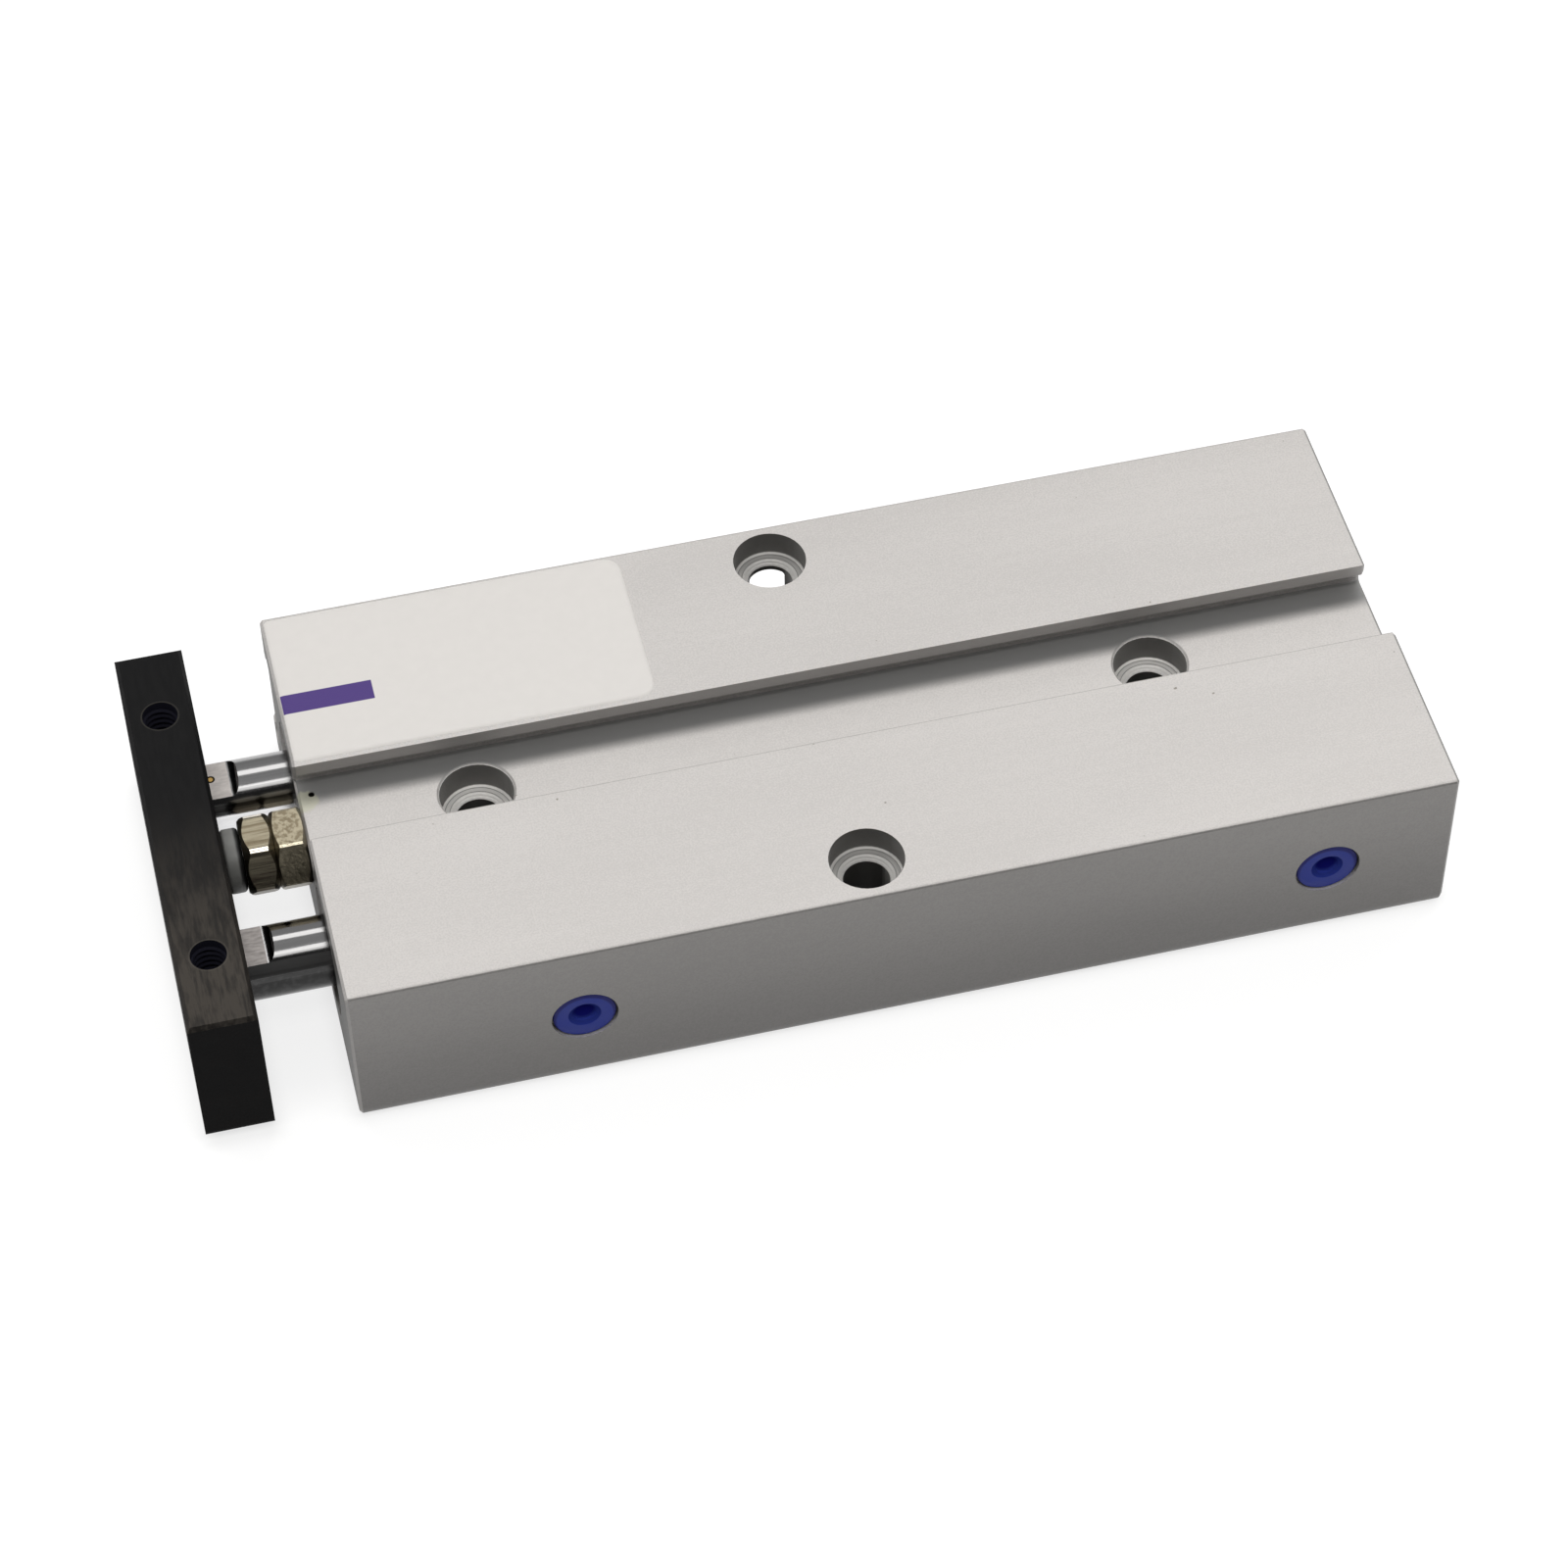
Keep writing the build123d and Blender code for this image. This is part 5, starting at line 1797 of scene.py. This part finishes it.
@dataclass(frozen=True)
class Softbox:
    """Area lamp that looks at the cylinder.

    Attributes:
        name: Name of the lamp.
        heading_deg: Heading of the lamp seen from above, 0 behind the cylinder and 180 in front.
        height_deg: Angle above the floor.
        distance_m: Distance from the cylinder.
        size_m: Width and height of the lamp's face.
        radiance: Brightness of its face.
        colour: Colour of its light.
    """

    name: str
    heading_deg: float
    height_deg: float
    distance_m: float
    size_m: tuple[float, float]
    radiance: float
    colour: Colour = (1.0, 0.99, 0.97)

    def build(self, target: Vector) -> None:
        """Hang the lamp, aimed at a point.

        Args:
            target: Point that it looks at, in metres.
        """
        heading, height = math.radians(self.heading_deg), math.radians(self.height_deg)
        way = Vector((
            math.sin(heading) * math.cos(height),
            math.cos(heading) * math.cos(height),
            math.sin(height),
        ))
        data = bpy.data.lights.new(self.name, "AREA")
        data.shape = "RECTANGLE"
        data.size, data.size_y = self.size_m
        data.energy = self.radiance * math.pi * self.size_m[0] * self.size_m[1]
        data.color = self.colour
        lamp = bpy.data.objects.new(self.name, data)
        lamp.location = target + way * self.distance_m
        lamp.rotation_mode = "QUATERNION"
        lamp.rotation_quaternion = way.to_track_quat("Z", "Y")
        bpy.context.scene.collection.objects.link(lamp)


@dataclass
class Studio:
    """Floor, lamps, surroundings and camera.

    Attributes:
        target_mm: Point that the lamps look at.
        floor_size_m: Side of the floor.
        floor_shade: Lightness of the floor's paint.
        floor_roughness: Roughness of the floor.
        floor_lift: Light that camera, glossy and transmission rays add to the floor.
        lift_reach: Distances from the footprint over which that light comes in; the weaker lift under and
            just around the footprints paints a faint shade there.
        footprints_mm: Middle and half length along X, then the same along Y, of what stands on the floor.
        camera_place_mm: Place of the camera.
        azimuth_deg: Heading of the camera's view, clockwise from +Y.
        elevation_deg: How far the camera looks down.
        roll_deg: Turn of the camera about its view.
        lens_mm: Focal length.
        sensor_mm: Width of the sensor.
        halves_reach: Y of the direction over which the room's front half passes into the rear one.
        room_in_front: Height and shade of the room's steps towards -Y, heights as sine of the elevation.
        room_behind: The same towards +Y.
        room_aside: Shade of the room towards -X and +X.
        aside_reach: Share of the direction along X over which that shade comes in.
        lamps: Softboxes over the cylinder.
    """

    target_mm: tuple[float, float, float] = (0.0, 0.0, 9.0)
    floor_size_m: float = 12.0
    floor_shade: float = 0.34
    floor_roughness: float = 0.9
    floor_lift: float = 0.82
    lift_reach: tuple[float, float] = (-8.0, 2.0)
    footprints_mm: tuple[tuple[float, float, float, float], ...] = (
        (3.1, 51.1, 0.0, 22.5),
        (-58.75, 3.15, 0.0, 22.2),
    )
    camera_place_mm: tuple[float, float, float] = (-63.49, -264.36, 333.08)
    azimuth_deg: float = 12.845
    elevation_deg: float = 50.20
    roll_deg: float = 0.9596
    lens_mm: float = 104.12
    sensor_mm: float = 36.0
    halves_reach: Reach = (-0.35, 0.35)
    room_in_front: tuple[tuple[float, float], ...] = ((0.0, 0.15), (0.15, 0.04), (0.86, 0.04), (0.93, 0.5))
    room_behind: tuple[tuple[float, float], ...] = ((0.0, 0.6), (0.2, 0.4), (0.75, 0.5), (0.93, 0.5))
    room_aside: float = 0.4
    aside_reach: tuple[float, float] = (0.6, 0.88)
    lamps: tuple[Softbox, ...] = (
        Softbox("rear_softbox", 0.0, 59.0, 3.0, (6.0, 0.9), 2.25),
        Softbox("front_softbox", 180.0, 68.0, 3.0, (6.0, 0.85), 3.0),
    )

    def build(self) -> None:
        """Set up everything around the cylinder."""
        target = Vector(self.target_mm) * MM
        for lamp in self.lamps:
            lamp.build(target)
        self.build_floor()
        self.build_surroundings()
        self.build_camera()
        bpy.context.scene.view_settings.view_transform = "Standard"

    def build_floor(self) -> None:
        """Lay a white floor that keeps the cylinder's shadow, with a faint painted shade under and around
        its footprints.
        """
        board = Board("floor_paper")
        board.set("Base Color", opaque((self.floor_shade,) * 3))
        board.set("Roughness", self.floor_roughness)
        board.set("Specular IOR Level", 0.0)
        board.set("Emission Color", opaque((1.0, 1.0, 1.0)))
        path = board.nodes.new("ShaderNodeLightPath").outputs
        rays = [path[name] for name in ("Is Camera Ray", "Is Glossy Ray", "Is Transmission Ray")]
        seen = board.fold("MAXIMUM", rays)
        # Painted shade: the added light is a little weaker under the footprints and within 2 mm of them.
        clear = board.range(self.footprint_distance(board), *self.lift_reach)
        board.set("Emission Strength", board.times(seen, clear, self.floor_lift))
        mesh = bmesh.new()
        bmesh.ops.create_grid(mesh, x_segments=4, y_segments=4, size=self.floor_size_m / 2)
        data = bpy.data.meshes.new("floor")
        mesh.to_mesh(data)
        mesh.free()
        data.materials.append(board.material)
        floor = bpy.data.objects.new("floor", data)
        bpy.context.scene.collection.objects.link(floor)

    def footprint_distance(self, board: Board) -> Socket:
        """Distance of a floor point from the nearest footprint.

        Args:
            board: Board to build on.

        Returns:
            The distance.
        """
        distances = []
        for x, half_x, y, half_y in self.footprints_mm:
            offset = board.vector("ABSOLUTE", board.vector("SUBTRACT", board.place, (x, y, 0.0)))
            beyond = board.vector("SUBTRACT", offset, (half_x, half_y, 0.0))
            outside = board.vector("MAXIMUM", beyond, (0.0, 0.0, 0.0))
            distances.append(board.vector("LENGTH", board.vector("MULTIPLY", outside, (1.0, 1.0, 0.0))))
        return board.fold("MINIMUM", distances)

    def build_surroundings(self) -> None:
        """Make a room that is dark in front, paler behind and at its sides, and pale overhead."""
        world = bpy.data.worlds.new("studio_room")
        bpy.context.scene.world = world
        world.use_nodes = True
        sheet = Sheet(world.node_tree)
        x, y, z = sheet.split(sheet.nodes.new("ShaderNodeTexCoord").outputs["Generated"])
        halves = [self.room_steps(sheet, z, steps) for steps in (self.room_in_front, self.room_behind)]
        room = sheet.mix(sheet.range(y, *self.halves_reach), *halves)
        aside = sheet.range(sheet.math("ABSOLUTE", x), *self.aside_reach)
        background = sheet.nodes.new("ShaderNodeBackground")
        background.inputs["Strength"].default_value = 1.0
        sheet.put(background.inputs["Color"], sheet.mix(aside, room, (self.room_aside,) * 3))
        output = sheet.nodes.new("ShaderNodeOutputWorld")
        sheet.put(output.inputs["Surface"], background.outputs["Background"])

    def room_steps(self, sheet: Sheet, height: Socket, steps: Sequence[tuple[float, float]]) -> Socket:
        """Shade one half of the room from the horizon upwards.

        Args:
            sheet: Sheet to build on.
            height: Sine of the elevation.
            steps: Heights and shades.

        Returns:
            The shade.
        """
        node = sheet.nodes.new("ShaderNodeValToRGB")
        sheet.put(node.inputs["Fac"], height)
        stops = node.color_ramp.elements
        for stop, (place, shade) in zip(stops, steps):
            stop.position, stop.color = place, opaque((shade,) * 3)
        for place, shade in steps[2:]:
            stops.new(place).color = opaque((shade,) * 3)
        return node.outputs["Color"]

    def build_camera(self) -> None:
        """Place the camera where the photo was taken from."""
        data = bpy.data.cameras.new("photo_camera")
        data.lens = self.lens_mm
        data.sensor_width = self.sensor_mm
        data.clip_start, data.clip_end = 0.01, 50.0
        camera = bpy.data.objects.new("photo_camera", data)
        bpy.context.scene.collection.objects.link(camera)
        azimuth, elevation = math.radians(self.azimuth_deg), math.radians(self.elevation_deg)
        view = Vector((
            math.sin(azimuth) * math.cos(elevation),
            math.cos(azimuth) * math.cos(elevation),
            -math.sin(elevation),
        ))
        level = view.to_track_quat("-Z", "Y")
        camera.rotation_mode = "QUATERNION"
        camera.rotation_quaternion = Quaternion(view, math.radians(self.roll_deg)) @ level
        camera.location = Vector(self.camera_place_mm) * MM
        bpy.context.scene.camera = camera


def main() -> None:
    """Build every sub-assembly in order, then the studio."""
    logging.basicConfig(level=logging.INFO, format="%(name)s: %(message)s")
    for assembly in (Housing(), Label(), RetractStop(), RodCarriage(), PortPlugs(), Studio()):
        assembly.build()


if __name__ == "__main__":
    main()
